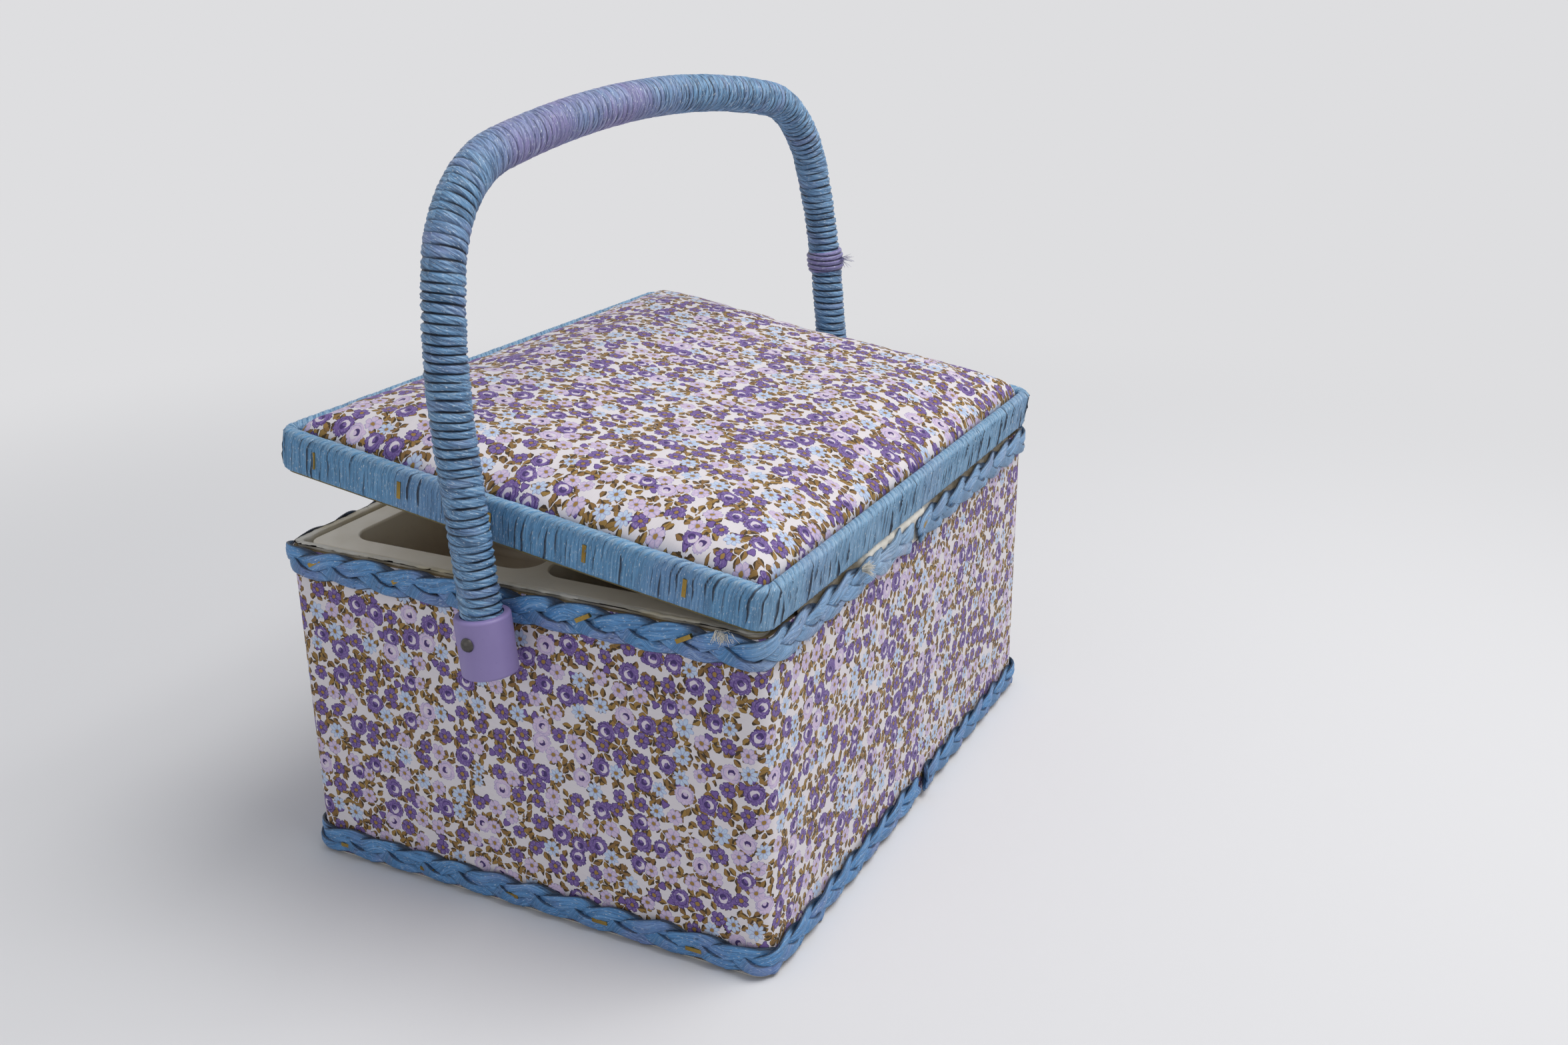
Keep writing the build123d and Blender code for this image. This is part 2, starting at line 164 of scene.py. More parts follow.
# ------------------------------------------------------------------ meshes
class Mesh:
    """Grids of points gathered into one mesh, with a UV map in millimetres and three values a point."""

    VALUES = ("crease", "tint", "shade")

    def __init__(self):
        self.points, self.loops, self.counts, self.uvs = [], [], [], []
        self.values = {name: [] for name in self.VALUES}
        self.total = 0

    def grid(self, points, uv, around=False, along=False, caps=False, turn=None, **values):
        """Add a grid of points (rows, columns, 3), its faces outwards unless turn is given.

        around closes its columns to a ring, along joins its last row to its first, caps fills its two ends.
        """
        rows, columns = points.shape[:2]
        i, j = np.meshgrid(np.arange(rows - (not along)), np.arange(columns - (not around)), indexing="ij")
        steps = [(i, j), (i + 1, j), (i + 1, j + 1), (i, j + 1)]
        quads = np.stack([(a % rows) * columns + b % columns for a, b in steps], -1).reshape(-1, 4)
        quad_uv = np.stack([uv[a, b] for a, b in steps], 2).reshape(-1, 4, 2)
        if turn is None:
            flat = points.reshape(-1, 3)
            a, b, c, d = (flat[quads[:, k]] for k in range(4))
            middle = flat.mean(0)
            turn = np.sum((a - middle) * np.cross(c - a, d - b)) < 0
        if turn:
            quads, quad_uv = quads[:, ::-1], quad_uv[:, ::-1]
        self.points.append(points.reshape(-1, 3))
        self.loops.append(quads.ravel() + self.total)
        self.counts.append(np.full(len(quads), 4))
        self.uvs.append(quad_uv.reshape(-1, 2))
        if caps:
            for row, reverse in ((0, turn), (rows - 1, not turn)):
                ring = np.arange(columns) + row * columns
                ring_uv = uv[row, :columns]
                if reverse:
                    ring, ring_uv = ring[::-1], ring_uv[::-1]
                self.loops.append(ring + self.total)
                self.counts.append(np.array([columns]))
                self.uvs.append(ring_uv)
        for name in self.VALUES:
            value = np.broadcast_to(values.get(name, 0.0), (rows, columns))
            self.values[name].append(value.ravel())
        self.total += rows * columns

    def ring(self, points, uv, **values):
        """Add a capped tube whose last column repeats its first, in the points and in the values."""
        once = {name: value[:, :-1] if np.ndim(value) else value for name, value in values.items()}
        self.grid(points[:, :-1], uv, around=True, caps=True, **once)

    def piece(self, name, material, body=None, replaces=(), merge=False):
        """One object of what was gathered, in metres, riding on its body."""
        mesh = bpy.data.meshes.new(name)
        points = np.concatenate(self.points) * MM
        loops, counts = np.concatenate(self.loops), np.concatenate(self.counts)
        mesh.vertices.add(len(points))
        mesh.vertices.foreach_set("co", points.ravel())
        mesh.loops.add(len(loops))
        mesh.loops.foreach_set("vertex_index", loops)
        mesh.polygons.add(len(counts))
        mesh.polygons.foreach_set("loop_start", np.concatenate([[0], np.cumsum(counts)[:-1]]))
        mesh.update(calc_edges=True)
        mesh.uv_layers.new(name="UVMap").data.foreach_set("uv", np.concatenate(self.uvs).ravel())
        for value in self.VALUES:
            numbers = np.concatenate(self.values[value])
            if numbers.any():
                mesh.attributes.new(value, "FLOAT", "POINT").data.foreach_set("value", numbers)
        mesh.validate()
        mesh.shade_smooth()
        mesh.materials.append(material)
        made = bpy.data.objects.new(name, mesh)
        bpy.context.scene.collection.objects.link(made)
        if merge:
            merge_doubles(made)
        if body:
            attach(made, body)
        if replaces:
            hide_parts(*replaces)
        return made


def merge_doubles(made):
    """Join points that lie in the same place."""
    work = bmesh.new()
    work.from_mesh(made.data)
    bmesh.ops.remove_doubles(work, verts=work.verts, dist=SAME_PLACE)
    work.to_mesh(made.data)
    work.free()
    made.data.shade_smooth()


def ripple(t, scale, seed, closed=None, waves=5):
    """Smooth random line, about -1 to 1: a sum of sines with random lengths near scale.

    closed is the length of a loop, round which each sine then goes a whole number of times.
    """
    random = np.random.default_rng(seed)
    rates = 1 / (scale * random.uniform(0.6, 1.8, waves))
    if closed:
        rates = np.maximum(1, np.round(rates * closed)) / closed
    phases = random.uniform(0, FULL_TURN, waves)
    t = np.asarray(t, float)[..., None]
    return np.sin(FULL_TURN * t * rates + phases).sum(-1) / math.sqrt(2.2 * waves)


def swell(scale, seed, *coordinates, waves=9):
    """Smooth random field, about -1 to 1, over any coordinates: plane waves in random directions."""
    random = np.random.default_rng(seed)
    rates = FULL_TURN / (scale * random.uniform(0.6, 1.8, waves))
    aims = random.normal(size=(len(coordinates), waves))
    aims /= np.linalg.norm(aims, axis=0)
    along = sum(np.asarray(c)[..., None] * aim for c, aim in zip(coordinates, aims))
    return np.sin(along * rates + random.uniform(0, FULL_TURN, waves)).sum(-1) / math.sqrt(2.2 * waves)


def smooth(low, high, value):
    """0 below low, 1 above high, and smooth between."""
    t = np.clip((value - low) / (high - low), 0, 1)
    return t * t * (3 - 2 * t)


def running(steps):
    """Running sum that starts at 0."""
    return np.concatenate([[0], np.cumsum(steps)])


def outline(s, size, reach, height):
    """Points at arc length s round a rounded rectangle, reach outside it and at a height.

    It starts in the middle of the back and runs clockwise seen from above. Each point is one of an
    inner rectangle, plus the radius and reach along the normal, which turns only round the corners.
    """
    length, width, radius = size
    half_x, half_y = length / 2 - radius, width / 2 - radius
    corner = math.pi * radius / 2
    parts = [half_x, corner, 2 * half_y, corner, 2 * half_x, corner, 2 * half_y, corner, half_x]
    ends = running(parts)
    s = np.asarray(s, float) % ends[-1]
    angle = np.radians(np.interp(s, ends, [90, 90, 0, 0, -90, -90, -180, -180, -270, -270]))
    x = np.interp(s, ends, half_x * np.array([0, 1, 1, 1, 1, -1, -1, -1, -1, 0]))
    y = np.interp(s, ends, half_y * np.array([1, 1, 1, -1, -1, -1, -1, 1, 1, 1]))
    out = radius + reach
    return np.stack([x + out * np.cos(angle), y + out * np.sin(angle), height], -1)


def round_length(length, width, radius):
    """Length of the whole outline."""
    return 2 * (length + width) - 8 * radius + FULL_TURN * radius


def swept(section, s):
    """Arc length, first and second coordinate of a section carried along s, as grids."""
    S, first = np.meshgrid(s, section[:, 0], indexing="ij")
    return S, first, np.broadcast_to(section[:, 1], S.shape)


def at_back(y, width):
    """0 over most of a case or lid that wide, rising to 1 on its back."""
    return smooth(width / 2 - 8, width / 2, y)


def on_lid(points):
    """From the closed lid's own place, centred and flat, to where it stands ajar."""
    y, z = points[..., 1] - LID_WIDTH / 2, points[..., 2]
    cos, sin = math.cos(-LID_ANGLE), math.sin(-LID_ANGLE)
    return np.stack([points[..., 0], HINGE_Y + y * cos - z * sin, HINGE_Z + y * sin + z * cos], -1)


def measured(section):
    """Arc lengths and outward normals of a closed line of points; the last length is the whole turn."""
    ahead, behind = np.roll(section, -1, 0), np.roll(section, 1, 0)
    lengths = running(np.linalg.norm(ahead - section, axis=1))
    tangent = (ahead - behind) / np.linalg.norm(ahead - behind, axis=1)[:, None]
    area = np.sum(section[:, 0] * ahead[:, 1] - ahead[:, 0] * section[:, 1])
    return lengths, np.stack([tangent[:, 1], -tangent[:, 0]], -1) * np.sign(area)


def arc(centre, radius, start, end, count=7):
    """Points of an arc from one angle to another, in degrees."""
    angles = np.radians(np.linspace(start, end, count))
    return np.stack([centre[0] + radius * np.cos(angles), centre[1] + radius * np.sin(angles)], -1)


# ------------------------------------------------------------------ shader nodes
class Value:
    """One output of a node. A sign between values, or a value and a number, adds a Math node to its tree."""

    def __init__(self, net, socket):
        self.net, self.socket = net, socket

    def __abs__(self):
        return self.net.math("ABSOLUTE", self)


def sign(operation, swapped=False):
    """Method of Value that adds one Math node; swapped is for a number on the left."""
    def method(value, other):
        return value.net.math(operation, *((other, value) if swapped else (value, other)))

    return method


for word, operation in (
    ("add", "ADD"), ("sub", "SUBTRACT"), ("mul", "MULTIPLY"), ("truediv", "DIVIDE"), ("pow", "POWER")
):
    setattr(Value, f"__{word}__", sign(operation))
    setattr(Value, f"__r{word}__", sign(operation, swapped=True))
Value.__lt__ = sign("LESS_THAN")
Value.__gt__ = sign("GREATER_THAN")


class Net:
    """Adds nodes to one tree; each input is a Value, a plain value or None, in order or by name."""

    def __init__(self, tree):
        self.tree = tree

    def feed(self, socket, value):
        """Link a Value to a socket, or set a plain number, vector or colour on it."""
        if isinstance(value, Value):
            self.tree.links.new(value.socket, socket)
        elif value is not None:
            socket.default_value = (*value, 1) if socket.type == "RGBA" and len(value) == 3 else value

    def outputs(self, node):
        return {socket.name: Value(self, socket) for socket in node.outputs if socket.name}

    def add(self, kind, *inputs, out=0, named=None, **properties):
        """Add a node and give one of its outputs, or all of them by name where out is None."""
        node = self.tree.nodes.new("ShaderNode" + kind)
        for name, value in properties.items():
            setattr(node, name, value)
        for socket, value in zip(node.inputs, inputs):
            self.feed(socket, value)
        for name, value in (named or {}).items():
            self.feed(node.inputs[name], value)
        return self.outputs(node) if out is None else Value(self, node.outputs[out])

    def math(self, operation, a, b=None, clamp=False):
        return self.add("Math", a, b, operation=operation, use_clamp=clamp)

    def vector(self, operation, a, b=None, scale=None):
        return self.add("VectorMath", a, b, None, scale, operation=operation)

    def length(self, vector):
        return self.add("VectorMath", vector, operation="LENGTH", out=1)

    def fade(self, value, low, high, to_low=0.0, to_high=1.0, smooth=True):
        """Value from low to high mapped to to_low .. to_high, held at both ends."""
        kind = "SMOOTHSTEP" if smooth else "LINEAR"
        return self.add("MapRange", value, low, high, to_low, to_high, interpolation_type=kind, clamp=True)

    def mix(self, amount, a, b, blend="MIX"):
        """Colour a changed to colour b by amount."""
        return self.add(
            "Mix", amount, named={6: a, 7: b}, out=2, data_type="RGBA", blend_type=blend, clamp_factor=True
        )

    def noise(self, vector, scale, detail=2.0, roughness=0.5, distortion=0.0, colour=False):
        named = dict(Vector=vector, Scale=scale, Detail=detail, Roughness=roughness, Distortion=distortion)
        return self.add("TexNoise", named=named, out=1 if colour else 0, noise_dimensions="3D")

    def streaks(self, vector, stretch, **options):
        """Noise over a vector multiplied by stretch, which draws it out along the smallest of the three."""
        return self.noise(self.vector("MULTIPLY", vector, stretch), 1.0, **options)

    def stair(self, value, *stops):
        """Colour that changes in steps, from (place, colour) stops."""
        node = self.tree.nodes.new("ShaderNodeValToRGB")
        self.feed(node.inputs[0], value)
        ramp = node.color_ramp
        ramp.interpolation = "CONSTANT"
        for _ in stops[2:]:
            ramp.elements.new(0.5)
        for element, (place, colour) in zip(ramp.elements, stops):
            element.position = place
            element.color = (*colour, 1)
        return Value(self, node.outputs[0])

    def channel(self, colour, index):
        """Red, green or blue of a colour."""
        return self.add("SeparateColor", colour, out=index)

    def split(self, vector):
        return self.add("SeparateXYZ", vector, out=None).values()

    def join(self, x, y, z=0.0):
        return self.add("CombineXYZ", x, y, z)

    def group(self, tree, **inputs):
        """Outputs of a new group node, its inputs given by name."""
        node = self.tree.nodes.new("ShaderNodeGroup")
        node.node_tree = tree
        for name, value in inputs.items():
            self.feed(node.inputs[name.replace("_", " ").capitalize()], value)
        return self.outputs(node)


def node_group(name, inputs, outputs):
    """Empty shader group; gives its net, its inputs and a closing call.

    Each input has a default: None for a vector, three numbers for a colour and one for a value.
    The outputs Color and Random are colours, and all others are values.
    """
    tree = bpy.data.node_groups.new(name, "ShaderNodeTree")
    for label, default in inputs.items():
        kind = "Vector" if default is None else "Color" if isinstance(default, tuple) else "Float"
        socket = tree.interface.new_socket(label, in_out="INPUT", socket_type="NodeSocket" + kind)
        if default is not None:
            socket.default_value = (*default, 1) if kind == "Color" else default
    for label in outputs:
        kind = "Color" if label in ("Color", "Random") else "Float"
        tree.interface.new_socket(label, in_out="OUTPUT", socket_type="NodeSocket" + kind)
    net = Net(tree)
    given = net.outputs(tree.nodes.new("NodeGroupInput"))
    result = tree.nodes.new("NodeGroupOutput").inputs

    def close(**values):
        for label, value in values.items():
            net.feed(result[label.capitalize()], value)
        return tree

    return net, given, close


def cached(build):
    """Build a group or a material once and give the same one afterwards."""
    made = {}

    def once(*key):
        if key not in made:
            made[key] = build(*key)
        return made[key]

    once.__doc__ = build.__doc__
    return once


@cached
def cell_group():
    """Scattered motifs: each cell's own polar place about its middle, and its random numbers.

    A jittered grid gives every cell a middle and the radius that it may fill. The angle is turned
    by a random amount, so no two motifs of a kind stand alike.
    """
    net, given, close = node_group(
        "scattered_cells",
        {"Vector": None, "Pitch": 10.0, "Jitter": 0.8},
        ("Radius", "Angle", "Room", "Random"),
    )
    scaled = net.vector("DIVIDE", given["Vector"], net.join(given["Pitch"], given["Pitch"], 1.0))
    options = dict(
        named={"Vector": scaled, "Scale": 1.0, "Randomness": given["Jitter"]}, voronoi_dimensions="2D"
    )
    cells = net.add("TexVoronoi", out=None, feature="F1", **options)
    room = net.add("TexVoronoi", out="Radius", feature="N_SPHERE_RADIUS", **options)
    x, y, _ = net.split(net.vector("SUBTRACT", scaled, cells["Position"]))
    turned = net.channel(cells["Color"], 1) * FULL_TURN
    angle = net.math("ARCTAN2", y, x) + turned
    radius = net.length(net.join(x, y)) * given["Pitch"]
    return close(radius=radius, angle=angle, room=room * given["Pitch"], random=cells["Color"])


@cached
def sprig_group():
    """Sprigs of three small pointed leaves: each leaf lies between two shallow curves that cross."""
    net, given, close = node_group(
        "leaf_sprigs",
        {"Vector": None, "Pitch": 9.0, "Length": 4.3, "Width": 2.7},
        ("Mask", "Edge", "Random"),
    )
    cells = net.group(cell_group(), vector=given["Vector"], pitch=given["Pitch"], jitter=0.85)
    radius, angle = cells["Radius"], cells["Angle"]
    x = radius * net.math("COSINE", angle)
    y = radius * net.math("SINE", angle)
    half = given["Length"] * 0.5

    def leaf(across, up, lean, apart):
        """Depth inside one leaf whose foot is near the middle, and which side of its rib."""
        cos, sin = math.cos(lean), math.sin(lean)
        u = (across * cos + up * sin - (half + apart)) / half
        v = up * cos - across * sin
        bulge = 1.0 - abs(u) ** 1.7
        return bulge * given["Width"] * 0.5 - abs(v), v

    pair, pair_side = leaf(abs(x), y, 0.30, 0.25)
    third, third_side = leaf(y, x, 0.1, 0.7)
    vary = net.channel(cells["Random"], 2)
    third = third - net.fade(vary, 0.60, 0.66, 0.0, 3.0)
    depth = net.math("MAXIMUM", pair, third)
    side = (pair > third) * (pair_side - third_side) + third_side
    mask = net.fade(depth, -0.05, 0.07)
    edge = net.math("MAXIMUM", net.fade(depth, 0.08, 0.24, 1.0, 0.0), net.fade(side, 0.26, 0.46))
    return close(mask=mask, edge=edge, random=cells["Random"])


@cached
def print_group():
    """Ditsy flower print: scattered roses, small flowers, daisies and buds over sprigs of leaves.

    Each flower is a petal curve in polar coordinates about its cell's middle: the radius dips
    between petals, and an outline, petal lines and a round centre are drawn from the same curve.
    """
    net, given, close = node_group(
        "ditsy_print",
        {"Vector": None, "Ground": WHITE, "Violet": WHITE, "Ink": WHITE, "Lilac": WHITE, "Sky": WHITE,
         "Leaf": WHITE, "Flower pitch": 12.0, "Leaf pitch": 9.0},
        ("Color",),
    )
    hand = net.noise(given["Vector"], 0.55, detail=2.0, colour=True)
    shift = net.vector("SCALE", net.vector("SUBTRACT", hand, (0.5, 0.5, 0.5)), scale=1.2)
    flat = net.vector("MULTIPLY", net.vector("ADD", given["Vector"], shift), (1.0, 1.0, 0.0))
    colour = given["Ground"]

    # leaves, two layers
    dark_leaf = net.mix(1.0, given["Leaf"], (0.10, 0.09, 0.12), "MULTIPLY")
    brown_leaf = net.mix(1.0, given["Leaf"], (0.72, 0.66, 0.80), "MULTIPLY")
    for move, share in (((3.7, 1.3, 0), 1.0), ((41.0, 23.0, 0), 0.93)):
        spot = net.vector("ADD", flat, move)
        sprig = net.group(sprig_group(), vector=spot, pitch=given["Leaf pitch"] * share)
        random = net.channel(sprig["Random"], 0)
        leaf = net.mix(net.fade(random, 0.2, 0.8), given["Leaf"], brown_leaf)
        leaf = net.mix(sprig["Edge"] * 0.9, leaf, dark_leaf)
        colour = net.mix(sprig["Mask"], colour, leaf)

    # buds
    bud = net.group(cell_group(), vector=net.vector("ADD", flat, (17.0, 31.0, 0)), pitch=15.0, jitter=0.9)
    wave = net.math("COSINE", bud["Angle"] * 3.0) * 0.3
    inside = 1.7 + wave - bud["Radius"]
    bud_colour = net.mix(net.fade(inside, 0.15, 0.5, 1.0, 0.0), given["Violet"], given["Ink"])
    colour = net.mix(net.fade(inside, -0.07, 0.07), colour, bud_colour)

    # flowers
    cells = net.group(cell_group(), vector=flat, pitch=given["Flower pitch"], jitter=0.58)
    radius, angle = cells["Radius"], cells["Angle"]
    pick = net.channel(cells["Random"], 0)
    vary = net.channel(cells["Random"], 2)
    # kinds of flower: where each one's share of the cells starts, a tenth of its petals and of its radius,
    # and how deep the notch is between petals
    kinds = {
        "rose": (0.0, 0.8, 0.47, 0.24), "pale rose": (0.19, 0.8, 0.45, 0.20),
        "small": (0.25, 0.5, 0.345, 0.40), "daisy": (0.57, 0.8, 0.43, 0.42), "pale": (0.78, 0.6, 0.36, 0.40),
    }
    start = {kind: numbers[0] for kind, numbers in kinds.items()}
    shape = net.stair(pick, *((numbers[0], numbers[1:]) for numbers in kinds.values()))
    petals, size, notch = (net.channel(shape, k) for k in range(3))
    size = size * (9.3 + vary * 1.4)
    is_rose = pick < start["small"]
    is_daisy = (pick > start["daisy"]) * (pick < start["pale"])
    size = net.math("MINIMUM", size, cells["Room"] + (0.6 + is_rose * 0.7))
    count = petals * 10.0
    lobe = angle * count / FULL_TURN
    beside = abs(net.math("FRACT", lobe) - 0.5) * 2.0
    bulge = net.math("SQRT", 1.0 - beside ** 2.0)
    round_dip = (1.0 - bulge) * (1.0 - is_daisy)
    dip = (round_dip + beside * is_daisy) * notch
    uneven = net.math("SINE", angle + vary * 40.0) * 0.09
    tip = net.fade(beside, 0.0, 0.34, 0.10, 0.0, smooth=False)
    inside = size * (1.0 - (dip + uneven + tip)) - radius
    body = net.fade(inside, -0.06, 0.06)

    def mixed(first, second, *seconds):
        """First colour, and the second for the kinds of flower named."""
        stair = net.stair(pick, *((start[kind], (float(kind in seconds),) * 3) for kind in kinds))
        return net.mix(net.channel(stair, 0), first, second)

    pale = mixed(given["Lilac"], given["Sky"], "daisy")
    fill = mixed(given["Violet"], pale, "pale rose", "daisy", "pale")
    pale_line = net.mix(0.70, pale, net.mix(0.35, given["Violet"], given["Sky"]))
    line = mixed(given["Ink"], pale_line, "pale rose", "daisy", "pale")
    fleck = net.noise(flat, 1.3, detail=2.0)
    fill = net.mix(net.fade(fleck, 0.50, 0.72, 0.0, 0.5), fill, net.mix(0.35, fill, WHITE))
    fill = net.mix(net.fade(fleck, 0.30, 0.45, 0.55, 0.0), fill, line)
    petal_line = (1.0 - beside) * (radius * math.pi / count)
    drawn = net.fade(petal_line, 0.08, 0.26, 1.0, 0.0) * (1.0 - is_rose)
    rim_line = net.fade(inside, 0.16, 0.46, 1.0, 0.0)
    fill = net.mix(net.math("MAXIMUM", drawn, rim_line) * 0.95, fill, line)
    ring = net.fade(radius, 1.05, 1.40, 0.85, 0.0)
    heart = net.mix(net.fade(radius, 0.78, 0.98, 1.0, 0.0), net.mix(ring, fill, line), given["Leaf"])

    # the rose's heart: curled petals, a pale crescent and a dark blot, off the middle
    x = radius * net.math("COSINE", angle)
    y = radius * net.math("SINE", angle)

    def disc(centre_x, centre_y, reach, soft=0.12):
        """1 inside a circle about a point, 0 outside."""
        away = net.length(net.join(x - centre_x, y - centre_y))
        return net.fade(away, reach - soft, reach + soft, 1.0, 0.0)

    def both(first, second):
        """The first disc without the second."""
        return net.math("SUBTRACT", first, second, clamp=True)

    light = net.mix(0.3, given["Ground"], given["Lilac"])
    middle = mixed(given["Violet"], given["Lilac"], "pale rose")
    rose = net.mix(both(disc(-0.5, 0.9, 2.5), disc(-0.4, 0.65, 2.35)) * 0.9, fill, line)
    rose = net.mix(both(disc(0.7, -0.9, 2.3), disc(0.55, -0.65, 2.15)) * 0.9, rose, line)
    rose = net.mix(disc(0.1, 0.0, 2.0), rose, middle)
    rose = net.mix(both(disc(0.35, 0.3, 1.85), disc(-0.35, -0.25, 1.25)), rose, light)
    rose = net.mix(both(disc(-0.25, -0.25, 1.45), disc(0.45, 0.15, 0.95)), rose, given["Ink"])
    flower = net.mix(is_rose, heart, rose)
    return close(color=net.mix(body, colour, flower))


@cached
def weave_group():
    """Plain weave: two sets of threads, each a row of half-round ridges that pass over and under in turn."""
    net, given, close = node_group(
        "plain_weave",
        {"Vector": None, "Threads": 2.6},
        ("Height", "Slub"),
    )
    turned = net.vector("SCALE", given["Vector"], scale=given["Threads"])
    x, y, _ = net.split(turned)
    warp = abs(net.math("SINE", x * math.pi))
    weft = abs(net.math("SINE", y * math.pi))
    over = net.add("TexChecker", turned, WHITE, (0, 0, 0), 1.0, out=1)
    height = warp * over + weft * (1.0 - over)
    slub = net.streaks(given["Vector"], (0.15, 2.0, 1.0), detail=3.0)
    return close(height=height, slub=slub)


@cached
def raffia_group():
    """Raffia: fine glossy fibres along V, creased dark where turns meet, with lilac patches.

    The fibres are noise drawn out along the strand, one coarse and one fine set.
    """
    net, given, close = node_group(
        "raffia_fibres",
        {"Vector": None, "Blue": WHITE, "Deep": WHITE, "Lilac": WHITE, "Pale": WHITE, "Crease": 0.0,
         "Tint": 0.0, "Shade": 0.0, "Patches": 0.35, "Fibre": 1.0},
        ("Color", "Roughness", "Height"),
    )
    vector = given["Vector"]
    fine = net.streaks(vector, (4.4, 0.15, 1.0), detail=4.0, roughness=0.62)
    coarse = net.streaks(vector, (1.3, 0.07, 1.0), detail=2.0, distortion=0.4)
    patch = net.streaks(vector, (0.045, 0.035, 1.0), detail=3.0)
    crinkle = net.streaks(vector, (0.5, 0.45, 1.0), detail=3.0, roughness=0.65)
    glint = net.streaks(vector, (2.6, 0.55, 1.0), detail=2.0, roughness=0.6)
    lilac = net.fade(patch, 0.50, 0.70) * given["Patches"]
    lilac = net.math("ADD", given["Tint"], lilac, clamp=True)
    lilac = lilac * net.fade(coarse, 0.28, 0.55, 0.65, 1.0)
    colour = net.mix(lilac, given["Blue"], given["Lilac"])
    shade = net.mix(lilac, given["Deep"], net.mix(0.45, given["Deep"], given["Lilac"]))
    # painted light: Shade pales the raffia towards Pale, on the lit back and along the tops of the rim's
    # turns
    colour = net.mix(given["Shade"] * 0.8, colour, given["Pale"])
    for noise, low, high, amount, tone in (
        (coarse, 0.60, 0.34, 0.72, shade), (coarse, 0.56, 0.72, 0.45, given["Pale"]),
        (fine, 0.54, 0.72, 0.50, given["Pale"]), (fine, 0.44, 0.28, 0.60, shade),
    ):
        seen = net.fade(noise, low, high, 0.0, amount) * given["Fibre"]
        colour = net.mix(seen, colour, tone)
    # painted glints: small pale and white highlight spots where the glint noise is high
    bright = net.fade(glint, 0.60, 0.70)
    colour = net.mix(bright * 0.75, colour, net.mix(0.6, given["Pale"], WHITE))
    # painted shade: creases and gaps between turns darkened towards deep blue
    dark = net.fade(given["Crease"], 0.05, 0.85) * net.fade(crinkle, 0.2, 0.7, 1.0, 0.86)
    colour = net.mix(dark, colour, net.mix(1.0, given["Deep"], (0.08, 0.10, 0.16), "MULTIPLY"))
    roughness = net.fade(fine, 0.3, 0.7, 0.46, 0.28) - bright * 0.12
    height = fine * 0.6
    for more, share in ((coarse, 0.9), (crinkle, 0.55), (glint, 0.35)):
        height = height + more * share
    return close(color=colour, roughness=roughness, height=height)


@cached
def wear_group():
    """Slow unevenness, specks and grime for boards, plastic and metal: noise at three sizes."""
    net, given, close = node_group(
        "wear_and_grain",
        {"Vector": None, "Base": WHITE, "Dirt": WHITE, "Amount": 0.3, "Grain": 400.0, "Rough low": 0.4,
         "Rough high": 0.6},
        ("Color", "Roughness", "Height"),
    )
    slow = net.noise(given["Vector"], 28.0, detail=4.0)
    grain = net.noise(given["Vector"], given["Grain"], detail=3.0, roughness=0.6)
    specks = net.fade(net.noise(given["Vector"], 900.0, detail=1.0), 0.68, 0.76)
    amount = net.fade(slow, 0.35, 0.75) * given["Amount"] + grain * given["Amount"] * 0.4
    colour = net.mix(amount, given["Base"], given["Dirt"])
    colour = net.mix(specks * (given["Amount"] * 0.5), colour, given["Dirt"])
    rough = net.add("MapRange", grain, 0.3, 0.7, given["Rough low"], given["Rough high"])
    return close(color=colour, roughness=rough, height=grain)


def new_material(name):
    """Empty node material with its Principled shader."""
    material = bpy.data.materials.new(name)
    material.use_nodes = True
    shader = material.node_tree.nodes["Principled BSDF"]
    return material, Net(material.node_tree), shader


def bumped(net, shader, height, strength, distance, colour, roughness, sheen=0.0):
    """Join a height, a colour and a roughness to the shader, and set its sheen."""
    normal = net.add("Bump", named={"Strength": strength, "Distance": distance, "Height": height})
    for name, value in (
        ("Base Color", colour), ("Roughness", roughness), ("Normal", normal), ("Sheen Weight", sheen)
    ):
        net.feed(shader.inputs[name], value)


@cached
def cotton_material():
    """Printed cotton: the flower print on a fine weave."""
    material, net, shader = new_material("printed_cotton")
    cloth = settings("print")
    place = net.add("UVMap")
    names = ("ground", "violet", "ink", "lilac", "sky", "leaf")
    drawn = net.group(
        print_group(), vector=place, **{name: tuple(getattr(cloth, name)) for name in names},
        flower_pitch=mm(cloth.flower_pitch), leaf_pitch=mm(cloth.leaf_pitch),
    )
    weave = net.group(weave_group(), vector=place)
    slub = net.fade(weave["Slub"], 0.3, 0.7, 0.0, 0.10)
    colour = net.mix(slub, drawn["Color"], net.mix(1.0, drawn["Color"], (0.6, 0.6, 0.62), "MULTIPLY"))
    bumped(net, shader, weave["Height"], 0.25, 0.00008, colour, 0.82, sheen=0.08)
    return material


@cached
def raffia_material(kind):
    """Glossy raffia; kind says which blue it has, how many lilac patches and how plainly its fibres show."""
    material, net, shader = new_material(kind + "_raffia")
    raffia = settings("raffia")
    blue, patches, fibre = {
        "plait": (raffia.plait_blue, 0.35, 0.62), "winding": (raffia.handle_blue, 0.30, 1.0),
        "rim": (raffia.rim_blue, 0.06, 0.50), "tie": (raffia.lilac, 1.0, 0.8),
    }[kind]
    # crease carries painted shade, shade carries painted light, and tint the lilac dye
    values = {name: net.add("Attribute", attribute_name=name, out=2) for name in Mesh.VALUES}
    out = net.group(
        raffia_group(), vector=net.add("UVMap"), blue=tuple(blue), deep=tuple(raffia.deep),
        lilac=tuple(raffia.lilac), pale=tuple(raffia.pale), patches=patches, fibre=fibre, **values,
    )
    bumped(net, shader, out["Height"], 0.8, 0.0005, out["Color"], out["Roughness"])
    return material


